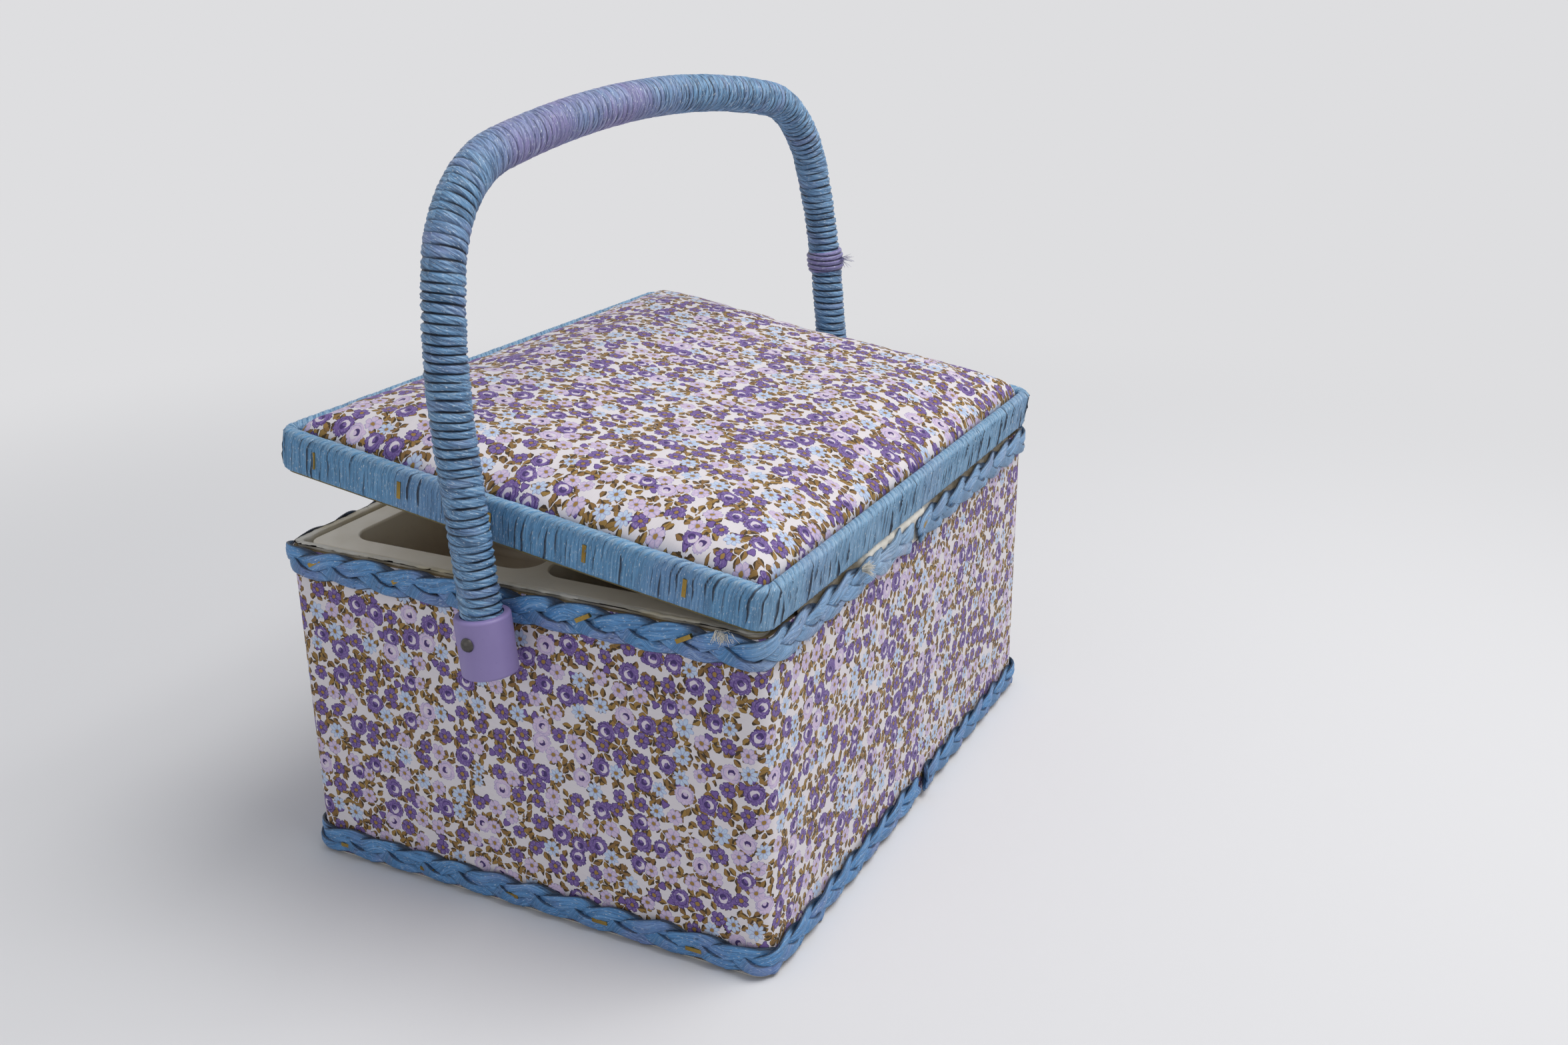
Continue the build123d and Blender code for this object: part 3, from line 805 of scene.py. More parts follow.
@cached
def satin_material(name="white_satin", with_painted_shade=False):
    """Satin: soft slubs across a close weave, yellowed in places; stained reads the point attribute tint."""
    material, net, shader = new_material(name)
    place = net.add("UVMap")
    weave = net.group(weave_group(), vector=place, threads=3.2)
    age = net.streaks(place, (0.03, 0.06, 1.0), detail=4.0)
    aged = srgb(220, 216, 204) if with_painted_shade else srgb(212, 198, 164)
    colour = net.mix(net.fade(age, 0.42, 0.66), srgb(230, 226, 216), aged)
    colour = net.mix(net.fade(weave["Slub"], 0.35, 0.7, 0.0, 0.3), colour, srgb(198, 190, 176))
    if with_painted_shade:
        # painted shade: dark olive where tint marks the hinge cloth lying in shadow at the back, made blotchy
        # by noise
        painted_shade_mask = net.add("Attribute", attribute_name="tint", out=2)
        blotch = net.streaks(place, (0.2, 0.5, 1.0), detail=3.0)
        colour = net.mix(painted_shade_mask * net.fade(blotch, 0.3, 0.7, 1.0, 0.8), colour, srgb(88, 74, 42))
    folds = net.streaks(place, (0.25, 0.9, 1.0), detail=3.0)
    bumped(net, shader, weave["Height"] * 0.15 + folds, 0.5, 0.0004, colour, 0.5, sheen=0.1)
    return material


@cached
def worn_material(name, base, dirt, amount, grain, rough_low, rough_high, bump):
    """Plain board, plastic or metal with its own wear; the tray is browned towards its bottom."""
    material, net, shader = new_material(name)
    place = net.add("TexCoord", out="Object")
    out = net.group(
        wear_group(), vector=place, base=base, dirt=dirt, amount=amount, grain=grain, rough_low=rough_low,
        rough_high=rough_high,
    )
    bumped(net, shader, out["Height"], bump, 0.0002, out["Color"], out["Roughness"])
    if "metal" in name:
        shader.inputs["Metallic"].default_value = 1.0
    if "tray" in name:
        low, high = corners("tray")
        _, _, z = net.split(place)
        # painted shade: darker brown towards the bottom of the tray, where the lid shades its pockets
        pocket_painted_shade = net.fade(z, (low[2] + 2) * MM, (high[2] - 1.5) * MM, 0.5, 0.0)
        net.feed(shader.inputs["Base Color"], net.mix(pocket_painted_shade, out["Color"], srgb(112, 82, 58)))
    return material


# base colour, grime, its amount, scale of the grain, lowest and highest roughness, strength of the bump
FINISHES = {
    "fibreboard": (srgb(150, 132, 100), srgb(96, 80, 56), 0.5, 700.0, 0.75, 0.9, 0.5),
    "olive_board": (srgb(120, 108, 62), srgb(70, 58, 34), 0.5, 500.0, 0.55, 0.8, 0.4),
    "base_sheet": (srgb(214, 210, 202), srgb(170, 162, 148), 0.35, 900.0, 0.8, 0.95, 0.3),
    "tray_plastic": (srgb(240, 232, 216), srgb(208, 192, 166), 0.30, 160.0, 0.30, 0.46, 0.15),
    "lilac_plastic": (srgb(148, 134, 186), srgb(118, 104, 156), 0.25, 300.0, 0.42, 0.56, 0.12),
    "brass_metal": (srgb(186, 156, 84), srgb(84, 62, 28), 0.75, 600.0, 0.22, 0.42, 0.2),
    "dark_steel_metal": (srgb(98, 96, 94), srgb(56, 52, 48), 0.45, 500.0, 0.24, 0.40, 0.15),
    "cane": (srgb(188, 158, 108), srgb(130, 100, 62), 0.5, 260.0, 0.5, 0.7, 0.4),
}
NODE_FINISH = {
    "base_cloth": "base_sheet", "base_board": "fibreboard", "wall_board": "fibreboard",
    "tray_ledges": "fibreboard", "tray": "tray_plastic", "top_braid_staples": "brass_metal",
    "bottom_braid_staples": "brass_metal", "rim_staples": "brass_metal", "handle_rivets": "dark_steel_metal",
    "rivet_washers": "dark_steel_metal", "rim_strip": "olive_board", "lid_board": "fibreboard",
    "handle_core": "cane", "handle_cup_right": "lilac_plastic", "handle_cup_left": "lilac_plastic",
}


# ------------------------------------------------------------------ pieces of the box
CLOTH_TURN = math.radians(-6.0)


def turned_uv(u, v, angle):
    """Flat cloth coordinates turned by an angle, so the print runs off the straight."""
    cos, sin = math.cos(angle), math.sin(angle)
    return np.stack([u * cos - v * sin, u * sin + v * cos], -1)


class SewingBoxBodyCloth(bpy.types.Operator):
    """Printed cotton round the walls: a thin closed section carried round the outline, slightly uneven"""

    bl_idname = "sewing_box.body_cloth"
    bl_label = "Body cloth"

    def execute(self, context):
        around = round_length(*CASE)
        seam = around * 0.5 + CASE_LENGTH * 0.42    # near a front corner
        s = seam + np.linspace(0, around, 521)[:-1]
        thick, rows = 0.5, 36
        heights = np.linspace(CASE_LOW[2], CLOTH_TOP, rows)
        outer = np.stack([np.zeros(rows), heights], -1)
        inner = np.stack([np.full(rows, -thick), heights[::-1]], -1)
        section = np.vstack([outer, inner])
        height = CLOTH_TOP - CASE_LOW[2]
        S, reach, H = swept(section, s)
        bow = ripple(S, 90, 3, around) * np.sin(math.pi * (H - CASE_LOW[2]) / height)
        reach = reach + (0.25 * bow - 0.25)
        grid = outline(S, CASE, reach, H)
        u = np.concatenate([s, [s[0] + around]])[:, None] - seam
        v = np.concatenate([section[:, 1], section[:1, 1]])[None, :]
        uv = turned_uv(*np.broadcast_arrays(u, v), CLOTH_TURN)
        mesh = Mesh()
        mesh.grid(grid, uv, around=True, along=True)
        made = mesh.piece("body_cloth", cotton_material(), "box", ["body_cover"])
        around * MM
        return {"FINISHED"}


def fray(mesh, root, aim, count, length, thick, random, turned=None):
    """Loose fibres from one place: thin tapering tubes that spread about an aim.

    Each one's line is a straight way plus a bend that grows as the square of how far along it is.
    """
    t = np.linspace(0, 1, 12)[:, None]
    ring = np.linspace(0, FULL_TURN, 7)
    aim = np.array(aim) / np.linalg.norm(aim)
    side = np.cross(aim, [0, 0, 1.0])
    side /= np.linalg.norm(side)
    up = np.cross(side, aim)
    for _ in range(count):
        spread = random.uniform(-0.7, 0.7, 2)
        way = (aim + side * spread[0] + up * spread[1] * 0.7) * length * random.uniform(0.5, 1.0)
        bend = (side * random.uniform(-0.4, 0.4) + up * random.uniform(-0.5, 0.2)) * length
        start = root + side * random.uniform(-2.4, 2.4) + up * random.uniform(-0.5, 0.5)
        line = start + way * t + bend * t**2
        width = thick * random.uniform(0.6, 1.3) * (1 - 0.75 * t[:, 0])
        grid = line[:, None, :] + width[:, None, None] * (
            np.cos(ring)[None, :, None] * side + np.sin(ring)[None, :, None] * up * 0.6
        )
        if turned:
            grid = turned(grid)
        uv = np.stack(np.meshgrid(t[:, 0] * length, ring, indexing="ij")[::-1], -1)
        mesh.ring(grid, uv, tint=1.0)


class SewingBoxLining(bpy.types.Operator):
    """Satin lining: the inner skin and the padded fold over the top of the walls, as one closed section"""

    bl_idname = "sewing_box.lining"
    bl_label = "Lining and fold"

    def execute(self, context):
        low = corners("body_lining")[0][2]
        depth, back_depth, bend = 5.1, 3.65, 1.2
        fold = arc((-1.0, CLOTH_TOP + 0.15), 1.35, 200, 90, 6)
        inner = arc((-depth + bend, FOLD_TOP - bend), bend, 90, 180, 6)
        down = np.array([[-depth, z] for z in np.linspace(FOLD_TOP - 4, low, 14)])
        back = np.array([[-back_depth, z] for z in (low, CLOTH_TOP - 2.0, CLOTH_TOP - 0.05)])
        section = np.vstack([fold, inner, down, back])
        around = round_length(*CASE)
        s = np.linspace(0, around, 641)[:-1]
        S, reach, height = swept(section, s)
        top = smooth(CLOTH_TOP - 3, FOLD_TOP, height)
        pucker = ripple(S, 9, 11, around) * 0.22 + ripple(S, 46, 12, around) * 0.3
        height = np.minimum(height + top * (pucker + 0.45) * (reach < -0.2), HINGE_Z - 0.15)
        reach = reach + top * ripple(S + 3, 14, 13, around) * 0.12
        grid = outline(S, CASE, reach, height)
        v, _ = measured(section)
        uv = np.stack(np.meshgrid(np.append(s, around), v, indexing="ij"), -1)
        mesh = Mesh()
        mesh.grid(grid, uv, around=True, along=True)
        # loose fibres at two places of the edge: where, which way and how many
        half = np.array([CASE_LENGTH, CASE_WIDTH]) / 2
        random = np.random.default_rng(17)
        for place, aim, count in (
            ((half[0] + 0.6, half[1] - 16, CLOTH_TOP + 1.7), (1.0, 0.5, -0.30), 60),
            ((64.0, half[1] + 2.4, CLOTH_TOP - 0.6), (-0.4, 1.0, 0.3), 90),
        ):
            fray(mesh, np.array(place), aim, count, length=5.2, thick=0.30, random=random)
        made = mesh.piece("satin_lining", satin_material(), "box", ["body_lining"])
        around * MM
        return {"FINISHED"}


class Plait:
    """Flat three-strand plait laid round the case.

    Strand k runs at height A sin(p) and stands off by -D sin(2p), where p is its phase along the
    plait plus k thirds of a turn, so each strand passes over on its way in and under on its way out.
    Its section is a flattened oval, turned to the strand's own slope. Long creases are sines of the
    angle round the strand, which turn slowly along it, so the strand looks twisted from a bunch of fibres.
    """

    strands = 3
    ring = 30

    def __init__(self, low, high, lobe, seed, painted_back_light=0.0):
        self.painted_back_light = painted_back_light
        self.middle = (low + high) / 2
        self.half = (high - low) / 2
        self.period = 3 * lobe
        self.seed = seed
        self.around = round_length(*CASE)

    def add(self, mesh, start, end, lift=(0.0, 0.0), stand=0.0, phase=0.0, lumpy=0.0, pale=0.0):
        """One length of plait from start to end, its ends lifted off the cloth."""
        count = max(12, int(abs(end - start) / 1.3))
        s = np.linspace(start, end, count)
        theta = np.linspace(0, FULL_TURN, self.ring + 1)
        S, T = np.meshgrid(s, theta, indexing="ij")
        for k in range(self.strands):
            seed = self.seed + 100 * k
            p = FULL_TURN * (s / self.period + k / 3) + phase + (0.22 + 0.25 * lumpy) * ripple(s, 55, seed)
            swing = self.half - 3.1
            up = np.sin(p)
            height = swing * up + (0.25 + 0.5 * lumpy) * ripple(s, 30, seed + 5)
            slope = np.arctan(swing * np.cos(p) * FULL_TURN / self.period)
            lower = smooth(0.1, 0.95, -up)
            wide = 3.4 - 0.75 * lower + (0.35 + 0.5 * lumpy) * ripple(s, 17, seed + 9)
            thick = 0.85 + 0.30 * lower + 0.3 * lumpy * ripple(s, 11, seed + 11)
            depth = 1.0 - 0.9 * np.sin(2 * p) + 0.12 * ripple(s, 17, seed + 13) + stand
            near_start = 1 - smooth(0, 7, s - start)
            near_end = 1 - smooth(0, 7, end - s)
            depth = depth + lift[0] * near_start + lift[1] * near_end
            taper = 1 - 0.45 * near_start ** 3 - 0.45 * near_end ** 3
            roll = (0.55 * lower * np.sign(np.cos(p)) * 0.8 + 0.12 * ripple(s, 40, seed + 20))[:, None]
            twist = T + (0.02 * S + 0.55 * ripple(s, 26, seed + 24)[:, None]) * (1 + 2.2 * lower[:, None])
            kink = 2 * ripple(s, 20, seed + 26)[:, None]
            folds = 0.42 * np.sin(5 * twist + k) + 0.33 * np.sin(9 * twist + kink)
            folds = (folds + 0.25 * np.sin(14 * twist + 1.3 * k)) * (0.75 + 0.4 * ripple(S, 13, seed + 28))
            cos, sin = np.cos(T), np.sin(T)
            across = (wide * taper)[:, None] * cos * (1 + 0.03 * folds)
            out = (thick * taper)[:, None] * np.sign(sin) * np.abs(sin) ** 0.75 + 0.30 * folds * sin
            cos, sin = np.cos(roll), np.sin(roll)
            across, out = across * cos - out * sin, across * sin * 0.6 + out * cos
            place = S - across * np.sin(slope)[:, None]
            level = self.middle + height[:, None] + across * np.cos(slope)[:, None]
            reach = np.maximum(depth[:, None] + out, 0.05)
            grid = outline(place, CASE, reach, level)
            # painted light: paler on the back, which the lamps light, and by pale where it is given, as on
            # the lumpy stretch
            painted_paleness = np.maximum(pale, self.painted_back_light * at_back(grid[..., 1], CASE_WIDTH))
            uv = np.stack([twist * 3.0 + 40 * k, S + 300 * k], -1)
            # painted shade: dark in the hollows between strands, at each strand's edges and in its folds,
            # less where painted light pales it
            sunk = 1 - smooth(0.25, 1.75, reach - 0.25 * folds)
            side = 0.65 * smooth(0.82, 1.0, np.abs(np.cos(T)))
            dark = np.clip(sunk + side + 0.6 * smooth(0.3, 0.95, -folds), 0, 1) * (1 - 0.6 * pale)
            tint = 0.4 * lower[:, None] * smooth(-0.2, 0.6, ripple(S, 38, seed + 30))
            mesh.ring(grid, uv, crease=dark, tint=tint, shade=painted_paleness)


class SewingBoxPlaits(bpy.types.Operator):
    """The two raffia plaits round the case, with their cut ends at the back"""

    bl_idname = "sewing_box.plaits"
    bl_label = "Plaits"

    def execute(self, context):
        lobe = mm(settings("raffia").lobe)
        # painted light: the top plait is paled on its back by 0.35, and on its lumpy stretch there by 0.62
        top = Plait(BRAID_LOW[2], BRAID_HIGH[2], lobe, 40, painted_back_light=0.35)
        mesh = Mesh()
        top.add(mesh, 51.5, top.around + 4.6, lift=(0.6, 1.5))
        top.add(mesh, 8.2, 53.5, lift=(0.2, -0.2), stand=-0.2, phase=1.1, lumpy=1.2, pale=0.62)
        mesh.piece("top_plait", raffia_material("plait"), "box", ["top_braid"])
        foot = Plait(FOOT_LOW[2], FOOT_HIGH[2], lobe * 0.96, 80)
        mesh = Mesh()
        foot.add(mesh, -5.5, foot.around - 8.5, lift=(0.3, 2.6), phase=2.0)
        mesh.piece("bottom_plait", raffia_material("plait"), "box", ["bottom_braid"])
        return {"FINISHED"}


class SewingBoxFloorPad(bpy.types.Operator):
    """Quilted pad on the floor: a thin pillow whose top rises as a product of two cosines"""

    bl_idname = "sewing_box.floor_pad"
    bl_label = "Floor pad"

    def execute(self, context):
        mesh = Mesh()
        pillow(mesh, *corners("floor_pad"), radius=5.0, quilting=0.35)
        made = mesh.piece("floor_quilt", satin_material(), "box", ["floor_pad"], merge=True)
        return {"FINISHED"}


def rounded_sheet(length, width, radius, columns, rows):
    """Flat grid over a rounded rectangle: even rows and columns, drawn in at the four corners."""
    x_line, y_line = np.linspace(-1, 1, columns) * length / 2, np.linspace(-1, 1, rows) * width / 2
    x, y = np.meshgrid(x_line, y_line, indexing="ij")
    over_x = np.maximum(np.abs(x) - (length / 2 - radius), 0) / radius
    over_y = np.maximum(np.abs(y) - (width / 2 - radius), 0) / radius
    pulled_x = over_x * np.sqrt(1 - over_y**2 / 2) - over_x
    pulled_y = over_y * np.sqrt(1 - over_x**2 / 2) - over_y
    return x + np.sign(x) * pulled_x * radius, y + np.sign(y) * pulled_y * radius


def inside_edge(x, y, length, width, radius):
    """Distance in from the edge of a rounded rectangle."""
    over_x, over_y = np.abs(x) - (length / 2 - radius), np.abs(y) - (width / 2 - radius)
    outside = np.hypot(np.maximum(over_x, 0), np.maximum(over_y, 0))
    return radius - (outside + np.minimum(np.maximum(over_x, over_y), 0))


def pillow(mesh, low, high, radius, quilting=0.0):
    """Thin pillow between two corners: two sheets whose height goes as a quarter ellipse near the edge.

    quilting is how high the wadding stands in rows over the top one.
    """
    size, middle = high - low, (high + low) / 2
    x, y = rounded_sheet(size[0], size[1], radius, 61, 47)
    inside = np.maximum(inside_edge(x, y, size[0], size[1], radius), 0)
    half = size[2] / 2
    edge = np.sqrt(1 - (1 - np.clip(inside / (2 * half), 0, 1)) ** 2)
    uv = np.stack([x, y], -1)
    bulge = quilting * np.cos(x / 18) * np.cos(y / 18) * smooth(0, 20, inside)
    top = half * edge * 0.88 + bulge * edge * 0.3
    for side in (1, -1):
        z = middle[2] + (top if side == 1 else -half * edge)
        grid = np.stack([x + middle[0], y + middle[1], z], -1)
        mesh.grid(grid, uv, turn=side == -1)


# ------------------------------------------------------------------ pieces of the lid
def rim_section():
    """Closed section of the wound rim, (in from the face, height), well rounded at the top."""
    low, high, wide = 0.8, RIM_HEIGHT, RIM_INSET
    outer, top, foot = 2.0, 2.3, 0.9
    face = np.linspace(low + foot, high - outer, 11)[1:-1]
    inside = np.linspace(high - top, low + foot, 5)[1:-1]
    return np.vstack([
        arc((foot, low + foot), foot, 270, 180, 3),
        np.stack([np.zeros_like(face), face], -1),
        arc((outer, high - outer), outer, 180, 90, 8),
        arc((wide - top, high - top), top, 90, 0, 7),
        np.stack([np.full_like(inside, wide), inside], -1),
        arc((wide - foot, low + foot), foot, 0, -90, 3),
    ])


class SewingBoxRim(bpy.types.Operator):
    """Raffia wound round the rim: one surface whose section swells and dips from turn to turn"""

    bl_idname = "sewing_box.rim"
    bl_label = "Wound rim"

    def execute(self, context):
        around = round_length(*LID)
        section = rim_section()
        lengths, normals = measured(section)
        random = np.random.default_rng(21)
        band = mm(settings("raffia").rim_band)
        widths = random.choice([0.62, 0.80, 1.00, 1.22, 1.50], int(around / band))
        widths = widths * random.uniform(0.94, 1.06)
        edges = running(widths) * around / widths.sum()
        # how wide each gap between two turns opens, and the middle and half height of its slit
        gaps = random.choice([0.10, 0.42, 0.85, 1.45], len(edges), p=[0.26, 0.26, 0.28, 0.20])
        gaps[-1] = gaps[0]
        middles = random.uniform(5.0, 15.0, len(edges))
        halves = random.uniform(4.0, 10.0, len(edges))
        middles[-1], halves[-1] = middles[0], halves[0]
        # how deep and how tilted each turn lies
        heights = random.uniform(-0.30, 0.0, len(widths))
        tilts = random.uniform(-0.4, 0.4, len(widths))
        s = np.linspace(0, around, int(around / 0.37) + 1)[:-1]
        S, inward, high = swept(section, s)
        on_top = smooth(RIM_HEIGHT - 3.4, RIM_HEIGHT - 0.8, high)
        lean = -(inward * on_top + 1.1 * smooth(RIM_HEIGHT - 5.5, RIM_HEIGHT - 1.0, high))
        wander = 0.45 * swell(24, 5, S, 2.0 * high)
        b = (S - lean + wander * smooth(0, 12, S) * smooth(0, 12, around - S)) % around
        index = np.clip(np.searchsorted(edges, b, side="right") - 1, 0, len(widths) - 1)
        left, right = edges[index], edges[index + 1]
        u = 2 * (b - left) / (right - left) - 1
        border = np.where(u < 0, index, index + 1) % len(widths)
        slit = np.clip(1 - ((high - middles[border]) / halves[border]) ** 2, 0, 1)
        gap = gaps[border] * (0.12 + 1.0 * slit)
        flatness = np.clip(5.0 - 2.6 * gap - 1.5 * on_top, 1.8, 5.0)
        dip = 1 - np.sqrt(np.clip(1 - np.abs(u) ** flatness, 0, 1))
        depth = (0.48 + 0.72 * gap) * (1 - 0.1 * on_top) + 0.50 * on_top
        ribs = 0.10 * np.sin(FULL_TURN * 1.5 * u + 7.7 * index)
        ribs += 0.06 * np.sin(FULL_TURN * 2.9 * u + 3.1 * index)
        out = heights[index] + tilts[index] * u * 0.3 - depth * dip + ribs + 0.28 * on_top - 0.12
        out = np.where(inward > RIM_INSET - 0.5, out * 0.4, out)
        reach = -(inward - out * normals[None, :, 0])
        level = high + out * normals[None, :, 1]
        flat = outline(S, LID, reach, level)
        strand = np.concatenate([S - lean, S[:1] - lean[:1] + around])
        strand = np.concatenate([strand, strand[:, :1]], 1)
        uv = np.stack([strand, np.broadcast_to(lengths, strand.shape)], -1)
        # painted shade in the gaps between turns, darker where they open wider and on the top
        crease = smooth(0.90 - 0.26 * gap, 0.995, np.abs(u)) * np.clip(0.25 + 1.1 * gap + 0.35 * on_top, 0, 1)
        tint = 0.15 * smooth(0.1, 0.9, ripple(S, 60, 8, around))
        mesh = Mesh()
        # painted highlight along the middle of each turn on the top, and painted light on the lid's back,
        # carried by the shade attribute
        pale = np.maximum(0.45 * on_top * (np.abs(u) < 0.6), 0.30 * at_back(flat[..., 1], LID_WIDTH))
        mesh.grid(on_lid(flat), uv, around=True, along=True, crease=crease, tint=tint, shade=pale)
        mesh.piece("rim_winding", raffia_material("rim"), "lid", ["rim_wrap"])
        return {"FINISHED"}


def blown_up(made, soft, pressure, frames, most):
    """Cloth simulation of a closed mesh under pressure: soft says where it may move, most how far, in mm.

    The simulated places are written back to the mesh, so nothing of the simulation stays on it.
    """
    scene = bpy.context.scene
    mesh = made.data
    group = made.vertex_groups.new(name="held")
    for level in range(11):
        chosen = np.flatnonzero(np.round((1 - soft) * 10) == level)
        if level:
            group.add([int(k) for k in chosen], level / 10, "REPLACE")
    rest = np.empty(3 * len(mesh.vertices))
    mesh.vertices.foreach_get("co", rest)
    modifier = made.modifiers.new("wadding", "CLOTH")
    cloth = modifier.settings
    cloth.quality, cloth.mass, cloth.vertex_group_mass = 6, 0.25, "held"
    cloth.tension_stiffness = cloth.compression_stiffness = 20
    cloth.shear_stiffness, cloth.bending_stiffness, cloth.shrink_min = 10, 0.4, -0.012
    cloth.use_pressure, cloth.uniform_pressure_force = True, pressure
    cloth.effector_weights.gravity = 0
    for step in range(1, frames + 1):
        scene.frame_set(step)
    dressed = made.evaluated_get(bpy.context.evaluated_depsgraph_get()).data
    blown = np.empty_like(rest)
    dressed.vertices.foreach_get("co", blown)
    made.modifiers.remove(modifier)
    made.vertex_groups.clear()
    scene.frame_set(1)
    move = (blown - rest).reshape(-1, 3)
    far = np.linalg.norm(move, axis=1)[:, None]
    move *= np.tanh(far / (most * MM)) * most * MM / np.maximum(far, 1e-9)
    mesh.vertices.foreach_set("co", (rest.reshape(-1, 3) + move).ravel())
    mesh.update()


class SewingBoxPaddedTop(bpy.types.Operator):
    """Padded printed top of the lid: a crowned sheet closed below, blown up by a cloth simulation"""

    bl_idname = "sewing_box.padded_top"
    bl_label = "Padded top"

    def execute(self, context):
        cushion = settings("cushion")
        rise, shoulder = mm(cushion.rise), mm(cushion.shoulder)
        length, width = LID_LENGTH - 2 * RIM_INSET + 0.3, LID_WIDTH - 2 * RIM_INSET + 0.3
        radius = LID_RADIUS - RIM_INSET + 0.5
        x, y = rounded_sheet(length, width, radius, 87, 67)
        inside = np.maximum(inside_edge(x, y, length, width, radius), 0)
        crown = np.sqrt(1 - (1 - np.clip(inside / shoulder, 0, 1)) ** 2)
        tuck = RIM_HEIGHT - 3.0
        z = tuck + (rise + RIM_HEIGHT - tuck - 2.6) * crown
        z += 0.5 * swell(75, 31, x, y) * smooth(4, 40, inside)
        edge_run = np.arctan2(y * length, x * width) * 120
        z += 0.35 * ripple(edge_run, 15, 33) * smooth(0, 5, inside) * (1 - smooth(8, 26, inside))
        uv = turned_uv(x, y, math.radians(3.0)) + 200.0
        under = 12.6
        base = under + (tuck - under) * (inside < 0.01)
        mesh = Mesh()
        # shade tells how freely each place may move
        mesh.grid(on_lid(np.stack([x, y, z], -1)), uv, turn=False, shade=smooth(2, 9, inside))
        mesh.grid(on_lid(np.stack([x, y, base], -1)), uv, turn=True)
        made = mesh.piece(
            "padded_top", cotton_material(), "lid", ["lid_cover", "lid_pad"], merge=True
        )
        soft = np.empty(len(made.data.vertices))
        made.data.attributes["shade"].data.foreach_get("value", soft)
        blown_up(made, soft, cushion.pressure, cushion.frames, 2.4)
        finish = made.modifiers.new("smooth", "SUBSURF")
        finish.levels = finish.render_levels = 1
        return {"FINISHED"}


class SewingBoxLidLining(bpy.types.Operator):
    """Satin panel inside the lid: a thin pillow, its faces meeting in a rounded edge"""

    bl_idname = "sewing_box.lid_lining"
    bl_label = "Lid lining"

    def execute(self, context):
        length, width = LID_LENGTH - 2 * RIM_INSET - 1.2, LID_WIDTH - 2 * RIM_INSET - 1.2
        mesh = Mesh()
        low, high = np.array([-length / 2, -width / 2, 7.9]), np.array([length / 2, width / 2, 8.7])
        pillow(mesh, low, high, radius=6.4)
        mesh.points = [on_lid(points) for points in mesh.points]
        made = mesh.piece("lid_satin", satin_material(), "lid", ["lid_lining"], merge=True)
        length * MM
        width * MM
        return {"FINISHED"}


class SewingBoxHinge(bpy.types.Operator):
    """Cloth hinge: one puckered strip from behind the plait up into the rim"""

    bl_idname = "sewing_box.hinge_cloth"
    bl_label = "Cloth hinge"

    def execute(self, context):
        low, high = corners("hinge_cloth_box")
        half = high[0]
        x = np.linspace(-half, half, 241)
        t = np.linspace(0, 1, 22)
        X, T = np.meshgrid(x, t, indexing="ij")
        rise = low[2] + T * (HINGE_Z + 6 - low[2])
        pucker = smooth(0.35, 0.62, T) * (1 - smooth(0.75, 0.95, T))
        # 1 where the strip is white and puffed up, 0 where it is flat and painted dark olive as shade
        white = smooth(66, 58, X) * smooth(-16, -8, X)
        proud = 0.15 + 0.85 * white
        y = CASE_HIGH[1] + 0.35 + pucker * proud * (0.8 + 0.5 * ripple(X, 9, 51) + 0.3 * ripple(X, 30, 52))
        on_box = np.stack([X, y, rise], -1)
        lid_part = on_lid(np.stack([X, np.full_like(X, LID_WIDTH / 2 - 1.05), rise - HINGE_Z], -1))
        w = smooth(HINGE_Z - 1.2, HINGE_Z + 1.6, rise)[..., None]
        grid = on_box * (1 - w) + lid_part * w
        thick = np.array([0, 0.3, 0])
        closed = np.concatenate([grid, (grid - thick)[:, ::-1]], 1)
        uv = np.stack([X, rise], -1)
        uv = np.concatenate([uv, uv[:, ::-1], uv[:, :1]], 1)
        mesh = Mesh()
        # tint carries the painted shade, dark olive, to the hinge cloth's satin
        mesh.grid(closed, uv, around=True, caps=True, tint=1 - white[:, :1])
        made = mesh.piece("hinge_cloth", satin_material("hinge_cloth", True))
        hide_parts("hinge_cloth_box", "hinge_cloth_lid")
        (HINGE_Z - 1.0) * MM
        (HINGE_Z + 1.5) * MM
        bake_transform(made)
        flat = (2 * half * MM, (HINGE_Z + 6 - low[2]) * MM)
        return {"FINISHED"}


# ------------------------------------------------------------------ pieces of the handle
ARCH = dict(half=157.25, rise=180.0, top=640.0, corner=51.0, leg=220.0, straight=75.0, foot=-13.0)


